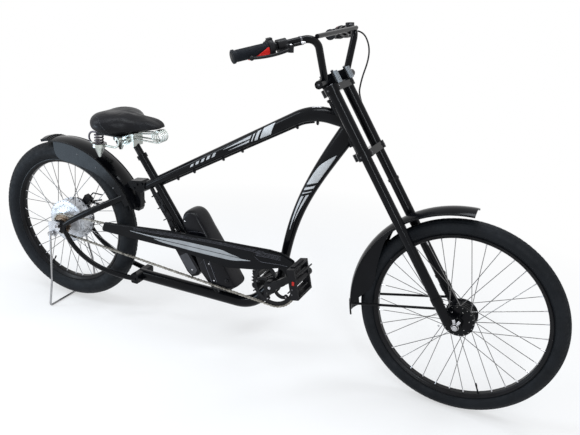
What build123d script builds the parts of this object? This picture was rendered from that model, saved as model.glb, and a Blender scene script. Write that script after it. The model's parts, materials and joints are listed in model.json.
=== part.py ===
from build123d import *
import os
from math import sin, cos, tan, atan2, radians, degrees, hypot, sqrt, pi, asin

# Electric chopper bicycle. X forward, Y left, Z up, mm. Shapes are laid out from the ground point under
# the rear axle, and moved at the end so that the row's origin is under the middle of the whole.

# ---- driving dimensions ----
wheelbase = 1573.0
rear_axle_z = 337.0
front_r = 331.0            # front tyre, 26 inch
front_tyre_w = 53.0
rear_r = 323.0             # rear tyre, 24 inch balloon
rear_tyre_w = 74.0
rim_w_front = 33.0
rim_w_rear = 40.0
spoke_d = 2.4
spokes = 36
axle_d = 12.0
drum_r = 52.0
drum_half = 30.0
motor_r = 86.0
motor_w = 50.0
rotor_r = 80.0

head_angle = 57.2
axle_lead = 20.5           # axle ahead of the fork legs
crown_offset = 35.0        # fork legs ahead of the steering axis
leg_half = 60.0
leg_d = 32.0
upper_leg_d = 37.0
low_crown_s = 597.0        # heights up the steering axis from the front axle
head_low_s = 634.0
head_high_s = 796.0
top_crown_s = 817.0
crown_t = 24.0
head_tube_d = 42.0
bar_s = 843.0
bar_d = 22.2
bar_base_d = 25.4
bar_base_half = 135.0
riser_half = 85.0
bend_out = 73.5            # from the riser's foot to the bend
bend_forward = 72.5
bend_rise = 119.0
grip_back = 164.5          # from the bend to the end of the grip
grip_out = 189.5
grip_drop = 52.5
grip_d = 34.0
grip_len = 104.0

bb_x = 940.0
bb_z = 308.0
bb_shell_d = 46.0
bb_shell_half = 36.0
ring_teeth = 42
cog_teeth = 20
chain_pitch = 12.7
chain_y = -50.0
crank_len = 168.0
crank_angle = 35.0
arm_y = -82.0
pedal_w = 107.0
pedal_len = 104.0
pedal_tilt = 102.0

top_tube_d = 41.0
down_tube_d = 44.0
seat_tube_d = 31.0
seat_post_d = 25.4
lower_tube_d = 44.0
lower_tube_z = 177.0
yoke_x = 335.0
seat_angle = 55.1
seat_cross_x = 422.8       # where seat tube and top tube cross
seat_cross_z = 574.9
seat_clamp_up = 172.0      # along the seat tube above that crossing
top_tube_slope = 29.6
arch_drop = 8.0            # fall of the top tube's front end, degrees
arch_r = 190.0
bracket_x = 352.0
bracket_h = 150.0
dropout_half = 70.0
stay_d = 16.0
blade_d = 20.0

fender_gap = 36.0
fender_t = 3.0
rear_fender_half = 45.5
rear_fender_ahead = 16.0   # mudguard's centre from the rear axle
rear_fender_down = 13.0
front_fender_half = 40.0
saddle_len = 268.0
saddle_w = 232.0
saddle_rise = 98.0         # top of the pad above the end of the seat post
saddle_back = 134.0        # back of the pad behind the end of the seat post
battery_len = 290.0
battery_w = 86.0

stand_pivot_x = -30.0
stand_pivot_z = 300.0
stand_foot_x = -17.0
stand_foot_half = 136.0
stand_rod_d = 8.0

front_bead_r = front_r - 0.925 * front_tyre_w
front_rim_in_r = front_bead_r - 0.41 * rim_w_front
rear_bead_r = rear_r - 0.892 * rear_tyre_w
rear_rim_in_r = rear_bead_r - 0.38 * rim_w_rear
motor_near = -0.44 * motor_w
motor_far = 0.56 * motor_w
pedal_half = abs(arm_y) + 13 + pedal_w / 2

# ---- helpers ----
ha = radians(head_angle)
up_axis = Vector(-cos(ha), 0, sin(ha))
fore_axis = Vector(sin(ha), 0, cos(ha))
front_axle = Vector(wheelbase, 0, front_r)
rear_axle = Vector(0, 0, rear_axle_z)
bb = Vector(bb_x, 0, bb_z)
leg_v = -axle_lead
steer_v = -axle_lead - crown_offset
snug = 0.02                # air between two parts that are fastened together


def st(v, s, y=0.0):
    """Point in steering coordinates: v ahead of the axle line, s up the steering axis, y left."""
    return front_axle + fore_axis * v + up_axis * s + Vector(0, y, 0)


def polar(center, r, angle, y=0.0):
    """Point round a wheel axis, the angle in degrees from +X upward."""
    a = radians(angle)
    return Vector(center.X + r * cos(a), y, center.Z + r * sin(a))


def rod(a, b, d):
    a, b = Vector(a), Vector(b)
    return Solid.make_cylinder(d / 2, (b - a).length, Plane(a, z_dir=b - a))


def bar6(a, b, d):
    """Six-sided bar, for thin spokes."""
    a, b = Vector(a), Vector(b)
    return extrude(Plane(a, z_dir=b - a) * RegularPolygon(d / 2, 6), (b - a).length)


def swept(points, d, bend):
    """Round bar along points with bends of the given radius."""
    pts = [Vector(p) for p in points]
    path = FilletPolyline(*pts, radius=bend) if len(pts) > 2 else Line(*pts)
    return sweep(Plane(path @ 0, z_dir=path % 0) * Circle(d / 2), path=path)


def tapered(path, rows):
    """Oval tube along a path; each row is share of the length, width in Y, height across."""
    faces = []
    for t, w, h in rows:
        faces.append((Plane(path @ t, x_dir=(0, 1, 0), z_dir=path % t) * Ellipse(w / 2, h / 2)).face())
    return loft(faces)


def outline(points, y0, bend=0.0):
    edges = Polyline(*[Vector(p[0], y0, p[1]) for p in points], close=True)
    if bend:
        edges = FilletPolyline(*[Vector(p[0], y0, p[1]) for p in points], radius=bend, close=True)
    return make_face(edges).faces()[0]


def plate(points, y0, y1, bend=0.0):
    """Flat plate cut from a side view outline of (x, z) points, between two Y planes."""
    return Solid.extrude(outline(points, y0, bend), Vector(0, y1 - y0, 0))


def disc(center, r, y0, y1):
    return Solid.make_cylinder(r, y1 - y0, Plane(Vector(center.X, y0, center.Z), z_dir=(0, 1, 0)))


def ring(center, r_out, r_in, y0, y1):
    return disc(center, r_out, y0, y1) - disc(center, r_in, y0 - 1, y1 + 1)


def turned(center, profile):
    """Ring turned round the wheel axis from (y, r) profile points."""
    plane = Plane(center, x_dir=(0, 1, 0), z_dir=(1, 0, 0))
    face = plane * make_face(Polyline(*[(y, r) for y, r in profile], close=True))
    return revolve(face, Axis(center, (0, 1, 0)), 360)


def union(items):
    out = items[0]
    for item in items[1:]:
        out = out + item
    return out


def together(items):
    """Several solids that do not touch, in one node."""
    solids = []
    for item in items:
        solids += list(item.solids())
    return Compound(children=solids)


def biggest(shape):
    return shape.solids().sort_by(SortBy.VOLUME)[-1]


parts = {}


# ---- wheels ----
def tyre(center, r, w, bead_r):
    """Casing turned from a many-sided section, widest half way up, with a flat crown on the ground."""
    radius = w / 2
    low = bead_r - (r - radius)
    steps = (degrees(asin(low / radius)), 0, 34, 62)
    side = [(radius * cos(radians(a)), r - radius + radius * sin(radians(a))) for a in steps]
    half = side + [(side[-1][0] * 0.52, r)]
    return turned(center, half + [(-y, z) for y, z in reversed(half)])


def rim(center, bead_r, in_r, w):
    h = w / 2
    step = (bead_r - in_r) * 0.45
    profile = [(-h, bead_r), (h, bead_r), (h, bead_r - step), (h * 0.55, in_r), (-h * 0.55, in_r),
               (-h, bead_r - step)]
    return turned(center, profile)


def spoke_set(center, in_r, flange_r, flange_half, cross):
    """Crossed spokes: each pair leaves one flange hole and leans to either side."""
    out = []
    for i in range(spokes):
        side = 1 if i % 2 else -1
        lean = cross if (i // 2) % 2 else -cross
        a_rim = 360 * i / spokes
        hub = polar(center, flange_r, a_rim + lean, center.Y + side * flange_half)
        end = polar(center, in_r + 0.5, a_rim, center.Y + side * 3)
        out.append(bar6(hub, end, spoke_d))
    return together(out)


def front_wheel():
    parts["front_tyre"] = tyre(front_axle, front_r, front_tyre_w, front_bead_r)
    parts["front_rim"] = rim(front_axle, front_bead_r, front_rim_in_r, rim_w_front)
    parts["front_spokes"] = spoke_set(front_axle, front_rim_in_r, drum_r * 0.92, drum_half * 0.87, 34)
    r0 = axle_d / 2 + snug
    rim_t = drum_half * 0.1
    end = drum_half * 1.4
    side = [(-end, r0), (-end, drum_r * 0.29), (-drum_half, drum_r * 0.38), (-drum_half, drum_r),
            (-drum_half + rim_t, drum_r), (-drum_half + 2 * rim_t, drum_r * 0.89)]
    parts["drum_hub"] = turned(front_axle, side + [(-y, r) for y, r in reversed(side)])


def rear_wheel():
    parts["rear_tyre"] = tyre(rear_axle, rear_r, rear_tyre_w, rear_bead_r)
    parts["rear_rim"] = rim(rear_axle, rear_bead_r, rear_rim_in_r, rim_w_rear)
    mid = Vector(0, (motor_near + motor_far) / 4, 0)
    parts["rear_spokes"] = spoke_set(rear_axle + mid, rear_rim_in_r, motor_r * 0.942, motor_w * 0.4, 22)
    r0 = axle_d / 2 + snug
    w = motor_w
    near, far, boss_r = motor_near, motor_far, rotor_r * 0.325
    near_side = [(near - 0.2 * w, r0), (near - 0.2 * w, motor_r * 0.26), (near - 0.08 * w, motor_r * 0.46),
                 (near - 0.08 * w, motor_r * 0.6), (near, motor_r * 0.72), (near, motor_r),
                 (near + 0.08 * w, motor_r), (near + 0.14 * w, motor_r * 0.93)]
    far_side = [(far - 0.14 * w, motor_r * 0.93), (far - 0.08 * w, motor_r), (far, motor_r),
                (far, motor_r * 0.72), (far + 0.08 * w, motor_r * 0.46), (far + 0.16 * w, boss_r),
                (far + 0.36 * w, boss_r), (far + 0.36 * w, r0)]
    parts["hub_motor"] = turned(rear_axle, near_side + far_side)
    y = motor_far + 0.36 * w
    t = rotor_r * 0.025
    rotor = ring(rear_axle, rotor_r, rotor_r * 0.81, y, y + t)
    rotor = rotor + ring(rear_axle, rotor_r * 0.34, rotor_r * 0.225, y, y + t)
    for i in range(6):
        arm = Pos(rotor_r * 0.575, t / 2, 0) * (Rot(0, 20, 0) * Box(rotor_r * 0.55, t, rotor_r * 0.11))
        rotor = rotor + Pos(0, y, rear_axle.Z) * (Rot(0, 60 * i, 0) * arm)
    for i in range(15):
        rotor = rotor - disc(polar(rear_axle, rotor_r * 1.03, 24 * i), rotor_r * 0.06, y - 1, y + t + 1)
        rotor = rotor - disc(polar(rear_axle, rotor_r * 0.9, 24 * i + 12), rotor_r * 0.035, y - 1, y + t + 1)
    parts["brake_rotor"] = rotor


# ---- drive ----
ring_r = chain_pitch / (2 * sin(pi / ring_teeth))
cog_r = chain_pitch / (2 * sin(pi / cog_teeth))
roller_r = chain_pitch * 0.307


def chain_loop(off, y0):
    """Closed loop round cog and chainring, held off the pitch line, as a face at one Y."""
    tilt = degrees(atan2(bb_z - rear_axle_z, bb_x))
    lean = degrees(asin((ring_r - cog_r) / hypot(bb_x, bb_z - rear_axle_z)))
    top, low = tilt + 90 + lean, tilt - 90 - lean
    big, small = ring_r + off, cog_r + off
    p1, p2 = polar(rear_axle, small, top, y0), polar(bb, big, top, y0)
    p3, p4 = polar(bb, big, low, y0), polar(rear_axle, small, low, y0)
    front, back = polar(bb, big, tilt, y0), polar(rear_axle, small, tilt + 180, y0)
    edges = [Line(p1, p2), ThreePointArc(p2, front, p3), Line(p3, p4), ThreePointArc(p4, back, p1)]
    return make_face(edges).faces()[0]


def drive():
    y0, w = chain_y - chain_pitch * 0.28, chain_pitch * 0.56
    loops = [Solid.extrude(chain_loop(off, y0), Vector(0, w, 0)) for off in (roller_r, -roller_r)]
    parts["chain"] = loops[0] - loops[1]
    t = chain_pitch * 0.16
    y0, y1 = chain_y - t, chain_y + t
    face_r = ring_r - roller_r - 0.6
    plate_ring = ring(bb, face_r, ring_r * 0.77, y0, y1)
    for i in range(5):
        plate_ring = plate_ring + disc(polar(bb, ring_r * 0.72, 72 * i + crank_angle), ring_r * 0.1, y0, y1)
    parts["chainring"] = plate_ring
    cog = ring(rear_axle, cog_r - roller_r - 0.6, cog_r * 0.5, y0, y1)
    inner = axle_d / 2 + 0.6
    body_r = cog_r * 0.68
    body = ring(rear_axle, body_r, inner, y0, motor_near - 0.2 * motor_w - 1)
    parts["freewheel"] = cog + body + ring(rear_axle, cog_r * 0.86, inner, y1, y1 + 2 * t)
    parts["freewheel"] = parts["freewheel"] + ring(rear_axle, body_r * 0.9, inner, y0 - 2 * t, y0)


# ---- crank and pedals ----
def crank_end(side):
    return polar(bb, crank_len, crank_angle + (0 if side < 0 else 180))


def crankset():
    t = chain_pitch * 0.16
    face_y = chain_y - t
    out = rod(bb + Vector(0, arm_y, 0), bb - Vector(0, arm_y, 0), bb_shell_d * 0.33)
    boss_r = ring_r * 0.28
    out = out + disc(bb, boss_r, arm_y, face_y - t) + disc(bb, boss_r * 1.2, face_y - 2.4 * t, face_y)
    for i in range(5):
        a = 72 * i + crank_angle
        root, tip = polar(bb, boss_r * 0.8, a - 24, face_y), polar(bb, ring_r * 0.72, a, face_y)
        mid = polar(bb, ring_r * 0.5, a - 20, face_y)
        path = ThreePointArc(root, mid, tip)
        start = Plane(path @ 0, x_dir=(0, 1, 0), z_dir=path % 0)
        blade = sweep(start * Rectangle(4 * t, ring_r * 0.11), path=path)
        lobe = disc(tip, ring_r * 0.095, face_y - 2.4 * t, face_y)
        out = out + Pos(0, -2 * t, 0) * blade + lobe
    half_t = crank_len * 0.042
    for side in (-1, 1):
        y = side * abs(arm_y)
        tip = crank_end(side)
        direction = (tip - bb).normalized()
        normal = Vector(-direction.Z, 0, direction.X)
        wide, thin = crank_len * 0.085, crank_len * 0.055
        corners = [bb + normal * wide, bb - normal * wide, tip - normal * thin, tip + normal * thin]
        arm = plate([(p.X, p.Z) for p in corners], y - half_t, y + half_t)
        out = out + arm + disc(bb, crank_len * 0.107, y - half_t, y + half_t)
        out = out + disc(tip, crank_len * 0.077, y - half_t, y + half_t)
    out = out - disc(bb, crank_len * 0.045, arm_y - half_t - 1, arm_y - half_t + 4)
    parts["crankset"] = out


def pedal(side):
    tip = crank_end(side)
    half_t = crank_len * 0.042
    y_in = side * (pedal_half - pedal_w / 2)
    y_mid = side * pedal_half
    y_out = side * (pedal_half + pedal_w / 2)
    y0, y1 = min(y_in, y_out), max(y_in, y_out)
    turn = Pos(tip.X, y_mid, tip.Z) * Rot(0, -pedal_tilt, 0)
    thick = pedal_len * 0.25
    body = Box(pedal_len, pedal_w, thick) - Box(pedal_len * 0.86, pedal_w * 0.84, thick + 2)
    body = body + Cylinder(pedal_len * 0.11, pedal_w, rotation=(90, 0, 0))
    for x in (-0.26, 0.26):
        body = body + Pos(pedal_len * x, 0, 0) * Box(pedal_len * 0.05, pedal_w, thick * 0.7)
    reflector = Box(pedal_len * 0.04, pedal_w * 0.62, thick * 0.62)
    for x in (-0.515, 0.515):
        body = body + Pos(pedal_len * x, 0, 0) * reflector
    stub0, stub1 = sorted((side * (abs(arm_y) + half_t + 0.3), y_in))
    return turn * body + disc(tip, pedal_len * 0.06, stub0, stub1)


# ---- fork ----
def crown(s, half_w):
    sock = upper_leg_d / 2 + crown_t / 4
    plane = Plane(st(0, s), x_dir=fore_axis, z_dir=up_axis)
    shape = Pos(leg_v, 0) * Rectangle(sock * 1.7, leg_half * 2)
    shape = shape + Pos(leg_v, leg_half) * Circle(sock) + Pos(leg_v, -leg_half) * Circle(sock)
    shape = shape + Pos(steer_v, 0) * Circle(half_w)
    shape = shape + Pos((steer_v + leg_v) / 2, 0) * Rectangle(crown_offset, half_w * 2)
    return Pos(up_axis * (-crown_t / 2)) * extrude(plane * shape, crown_t)


def fork():
    legs = []
    drop_t = leg_d * 0.22
    for side in (-1, 1):
        y = side * leg_half
        joint_s = low_crown_s - crown_t / 2
        low = rod(st(leg_v, leg_d * 0.5, y), st(leg_v, joint_s, y), leg_d)
        high = rod(st(leg_v, joint_s, y), st(leg_v, top_crown_s - crown_t / 2, y), upper_leg_d)
        collar = rod(st(leg_v, leg_d * 2.6, y), st(leg_v, leg_d * 3.3, y), leg_d * 1.12)
        corners = [st(leg_v - leg_d / 2, leg_d * 1.25), st(leg_v + leg_d / 2, leg_d * 1.25),
                   st(leg_d * 0.5, leg_d * 0.18), st(-leg_d * 0.6, -leg_d * 0.12)]
        web = plate([(p.X, p.Z) for p in corners], y - drop_t, y + drop_t)
        tip = disc(front_axle, leg_d * 0.6, y - drop_t, y + drop_t)
        lug = low + high + collar + tip + web
        legs.append(lug - disc(front_axle, axle_d / 2 + snug, y - leg_d, y + leg_d))
    parts["fork_legs"] = together(legs)
    low, high = crown(low_crown_s, head_tube_d * 0.64), crown(top_crown_s, head_tube_d * 0.64)
    for side in (-1, 1):
        y = side * leg_half
        under = st(leg_v, low_crown_s - 2 * crown_t, y)
        low = low - rod(under, st(leg_v, low_crown_s + 2 * crown_t, y), upper_leg_d)
        low = low - rod(under, st(leg_v, low_crown_s, y), leg_d)
        cap_s = top_crown_s + crown_t / 2
        high = high + rod(st(leg_v, cap_s - 1, y), st(leg_v, cap_s + crown_t * 0.04, y), upper_leg_d * 0.8)
    steerer = rod(st(steer_v, low_crown_s), st(steer_v, top_crown_s + crown_t * 0.75), head_tube_d * 0.68)
    parts["fork_crowns"] = low + high + steerer
    nut_in, nut_out = leg_half + drop_t + 0.1, leg_half + drop_t + axle_d * 0.75
    stub = axle_d * 0.6
    axle = rod(front_axle + Vector(0, -nut_out - stub, 0), front_axle + Vector(0, nut_out + stub, 0), axle_d)
    for side in (-1, 1):
        start = nut_in if side > 0 else -nut_out
        plane = Plane(front_axle + Vector(0, start, 0), z_dir=(0, 1, 0))
        axle = axle + extrude(plane * RegularPolygon(axle_d, 6), nut_out - nut_in)
    parts["front_axle"] = axle


# ---- handlebar ----
def bar_points(side):
    base = st(leg_v, bar_s, side * riser_half)
    bend = st(leg_v + bend_forward, bar_s + bend_rise, side * (riser_half + bend_out))
    grip = bend + Vector(-grip_back, side * grip_out, -grip_drop)
    return base, bend, grip


def grip_frame(side):
    """End of the grip and the direction from the bend to it."""
    base, bend, grip = bar_points(side)
    return grip, (grip - bend).normalized()


def handlebar():
    out = rod(st(leg_v, bar_s, -bar_base_half), st(leg_v, bar_s, bar_base_half), bar_base_d)
    for side in (-1, 1):
        base, bend, grip = bar_points(side)
        back = grip_frame(side)[1]
        out = out + swept([base, bend, grip - back * (grip_len + 1)], bar_d, bar_d * 2.2)
        open_end = st(leg_v, bar_s, side * bar_base_half)
        bore_start = open_end - Vector(0, side * bar_base_d, 0)
        out = out - rod(bore_start, open_end + Vector(0, side, 0), bar_base_d * 0.76)
    a, b = bar_points(-1)[1], bar_points(1)[1]
    parts["handlebar"] = out + rod(a, b, bar_d * 0.62)
    grips, blocks, lever_set = [], [], []
    for side in (-1, 1):
        grip, back = grip_frame(side)
        shell = rod(grip - back * grip_len, grip, grip_d)
        shell = shell + rod(grip - back * grip_len, grip - back * grip_len * 0.95, grip_d * 1.2)
        shell = shell + rod(grip - back * grip_len * 0.05, grip, grip_d * 1.14)
        grips.append(shell)
        y = side * leg_half * 0.83
        low_s, high_s = top_crown_s + crown_t / 2, bar_s + bar_base_d * 0.7
        plane = Plane(st(leg_v, low_s, y), x_dir=fore_axis, z_dir=up_axis)
        foot_shape = RectangleRounded(bar_base_d * 2.2, leg_half * 0.5, leg_half * 0.1)
        block = extrude(plane * foot_shape, high_s - low_s)
        inner, outer = st(leg_v, bar_s, y - leg_half * 0.25), st(leg_v, bar_s, y + leg_half * 0.25)
        block = block + rod(inner, outer, bar_base_d * 1.62)
        block = block - rod(st(leg_v, bar_s, y - leg_half), st(leg_v, bar_s, y + leg_half), bar_base_d)
        for v in (-0.8, 0.8):
            foot = st(leg_v + v * bar_base_d, high_s - bar_base_d * 0.3, y)
            block = block + rod(foot, foot + up_axis * bar_base_d * 0.5, bar_base_d * 0.36)
        under = parts["fork_crowns"]
        blocks.append(biggest(block - under))
        spot = grip - back * (grip_len + grip_d * 1.25)
        clear = rod(spot - back * grip_d, spot + back * grip_d, bar_d)
        collar = rod(spot - back * grip_d * 0.4, spot + back * grip_d * 0.4, bar_d * 1.55)
        pivot = spot + Vector(grip_d * 0.85, 0, -grip_d * 0.2)
        arm = rod(spot + Vector(grip_d * 0.35, 0, 0), pivot, grip_d * 0.5)
        knuckle = rod(pivot - Vector(0, 0, grip_d * 0.3), pivot + Vector(0, 0, grip_d * 0.3), grip_d * 0.5)
        tip = spot + back * (grip_len * 1.2) + Vector(grip_d * 1.12, 0, -grip_d * 0.12)
        middle = (pivot + tip) * 0.5 + Vector(grip_d * 0.22, 0, -grip_d * 0.1)
        blade_path = Spline(pivot - back * grip_d * 0.1, middle, tip)
        blade = tapered(blade_path, [(0, grip_d * 0.36, grip_d * 0.3), (0.5, grip_d * 0.4, grip_d * 0.26),
                                     (1, grip_d * 0.34, grip_d * 0.24)])
        ball = Pos(tip) * Sphere(grip_d * 0.2)
        barrel = rod(spot + Vector(grip_d * 0.8, 0, 0) - back * grip_d * 0.3,
                     spot + Vector(grip_d * 0.8, 0, 0) - back * grip_d * 0.95, grip_d * 0.27)
        lever_set.append((collar + arm + knuckle + barrel + blade + ball) - clear)
    parts["grips"] = together(grips)
    parts["bar_clamps"] = together(blocks)
    parts["brake_levers"] = together(lever_set)


def bar_gear():
    """Throttle collar on the right, bell housing on the left."""
    grip, back = grip_frame(-1)
    inner = grip - back * (grip_len + 0.3)
    collar = rod(inner, inner - back * grip_d * 0.5, grip_d * 1.45)
    root = inner - back * grip_d * 0.25
    paddle = rod(root, root + Vector(-grip_d * 0.5, 0, -grip_d * 0.95), grip_d * 0.42)
    collar = collar + paddle
    collar = collar - rod(inner + back * grip_d, inner - back * grip_d * 2, bar_d)
    parts["throttle"] = biggest(collar - parts["grips"])
    grip, back = grip_frame(1)
    spot = grip - back * (grip_len + grip_d * 2.8)
    side_axis = back.cross(Vector(0, 0, 1)).normalized()
    top = side_axis.cross(back).normalized()
    bell = rod(spot - back * grip_d * 0.32, spot + back * grip_d * 0.32, bar_d * 1.5)
    bell = bell + rod(spot, spot + top * grip_d * 0.62, grip_d * 0.85)
    bell = bell - rod(spot + back * grip_d, spot - back * grip_d, bar_d)
    parts["bell"] = biggest(bell - parts["brake_levers"])


def cables():
    """Front brake cable from the left lever down the left leg, and a short one on the right."""
    grip, back = grip_frame(1)
    spot = grip - back * (grip_len + grip_d * 1.25) + Vector(grip_d * 0.8, 0, 0) - back * grip_d * 0.97
    y = leg_half + leg_d * 0.5 + bar_d * 0.2
    d = bar_d * 0.24
    way = [(3.3, 4.6, 2.35), (3.6, 2.4, 2.1), (3.0, 0.5, 1.76), (1.3, -1.6, 1.3)]
    points = [spot] + [st(leg_v + bar_d * v, bar_s + bar_d * up, riser_half * out) for v, up, out in way]
    proud = y + leg_d * 0.32
    points += [st(leg_v, top_crown_s - 2.4 * crown_t, proud), st(leg_v, low_crown_s - crown_t, proud),
               st(leg_v, low_crown_s * 0.85, y), st(leg_v, leg_d * 3.4, y)]
    line = swept(points, d, grip_d * 0.55)
    clips = []
    for share in (0.8, 0.5, 0.22):
        s = low_crown_s * share
        loop = rod(st(leg_v, s, leg_half), st(leg_v, s + leg_d * 0.25, leg_half), leg_d * 1.16)
        clip = loop + rod(st(leg_v, s, y), st(leg_v, s + leg_d * 0.25, y), d * 2)
        clips.append(clip - rod(st(leg_v, s - leg_d, leg_half), st(leg_v, s + leg_d, leg_half), leg_d))
    ferrule = rod(st(leg_v, leg_d * 3.4, y), st(leg_v, leg_d * 2.4, y), d * 1.8)
    whole = union([line, ferrule] + clips) - parts["fork_legs"] - parts["brake_levers"] - parts["fork_crowns"]
    parts["brake_cable"] = biggest(whole)


# ---- fenders ----
def arch(center, r, half_w, a0, a1, t, edge):
    """Arched mudguard: a rounded channel with beaded edges, between two angles from +X up."""
    plane = Plane((0, 0, 0), x_dir=(0, 1, 0), z_dir=(1, 0, 0))
    arc = ThreePointArc((-half_w, r - edge), (0, r), (half_w, r - edge))
    inner = ThreePointArc((-half_w + t, r - edge - t * 0.5), (0, r - t), (half_w - t, r - edge - t * 0.5))
    face = make_face([arc, Line(arc @ 1, inner @ 1), inner, Line(inner @ 0, arc @ 0)])
    face = face + Pos(half_w - t / 2, r - edge) * Circle(t) + Pos(t / 2 - half_w, r - edge) * Circle(t)
    body = revolve(plane * face, Axis((0, 0, 0), (0, -1, 0)), a1 - a0)
    return Pos(center) * (Rot(0, 90 - a0, 0) * body)


def skirt(center, edge_r, rows, y0, y1):
    """Side valance: bounded by the mudguard's edge circle and a curve of (angle, share of that radius)."""
    first, last = rows[0][0], rows[-1][0]
    top = ThreePointArc(polar(center, edge_r, last, y0), polar(center, edge_r, (first + last) / 2, y0),
                        polar(center, edge_r, first, y0))
    low = Spline(*[polar(center, edge_r * share, a, y0) for a, share in rows])
    face = make_face([top, Line(top @ 1, low @ 0), low, Line(low @ 1, top @ 0)]).faces()[0]
    return Solid.extrude(face, Vector(0, y1 - y0, 0))


def fenders():
    r = rear_r + 0.93 * fender_gap
    edge = rear_fender_half * 0.21
    center = rear_axle + Vector(rear_fender_ahead, 0, -rear_fender_down)
    rear = arch(center, r, rear_fender_half, 23, 100, fender_t, edge)
    for step in (1, 2, 3):
        lip_r = r + fender_t * 0.8 * step
        rear = rear + arch(center, lip_r, rear_fender_half * 0.97, 97.5 + 1.5 * step, 106, fender_t, edge)
    rows = [(26, 0.94), (37, 0.915), (44, 0.895), (54, 0.87), (63, 0.838), (72, 0.812), (82, 0.797),
            (92, 0.81), (96, 0.94)]
    for side in (-1, 1):
        y0, y1 = sorted((side * (rear_fender_half - fender_t), side * rear_fender_half))
        rear = rear + skirt(center, r - edge - fender_t * 0.3, rows, y0, y1)
    parts["rear_fender"] = rear
    r = front_r + fender_gap
    edge = front_fender_half * 0.35
    front = arch(front_axle, r, front_fender_half, 89, 185, fender_t, edge)
    front = front + arch(front_axle, r + fender_t * 0.8, front_fender_half, 184, 191, fender_t, edge)
    rows = [(128, 0.985), (140, 0.955), (147, 0.905), (157, 0.85), (167, 0.822), (174, 0.852), (180, 0.93),
            (184, 0.985)]
    for side in (-1, 1):
        y0, y1 = sorted((side * (front_fender_half - fender_t), side * front_fender_half))
        front = front + skirt(front_axle, r - edge - fender_t * 0.3, rows, y0, y1)
    parts["front_fender"] = biggest(front - parts["fork_legs"])
    stays = []
    for side in (-1, 1):
        end = polar(front_axle, front_r + fender_gap * 0.4, 184, side * (front_fender_half + fender_t * 0.6))
        hub = front_axle + Vector(-leg_d * 1.45, side * (leg_half - leg_d * 0.42), leg_d * 1.2)
        stay = rod(hub, end, leg_d * 0.26)
        stays.append(biggest(stay - parts["fork_legs"] - parts["front_fender"]))
    parts["fender_stays"] = together(stays)


# ---- main frame ----
def seat_line(d, back=0.0, y=0.0):
    """Point on the seat tube axis, d up from where it crosses the top tube, moved back across it."""
    a = radians(seat_angle)
    return Vector(seat_cross_x - d * cos(a) - back * sin(a), y, seat_cross_z + d * sin(a) - back * cos(a))


def reach_down():
    return (seat_cross_z - lower_tube_z) / sin(radians(seat_angle))


def top_line(x):
    return Vector(x, 0, seat_cross_z + (x - seat_cross_x) * tan(radians(top_tube_slope)))


def head_at(share):
    return st(steer_v, head_low_s + share * (head_high_s - head_low_s))


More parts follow.
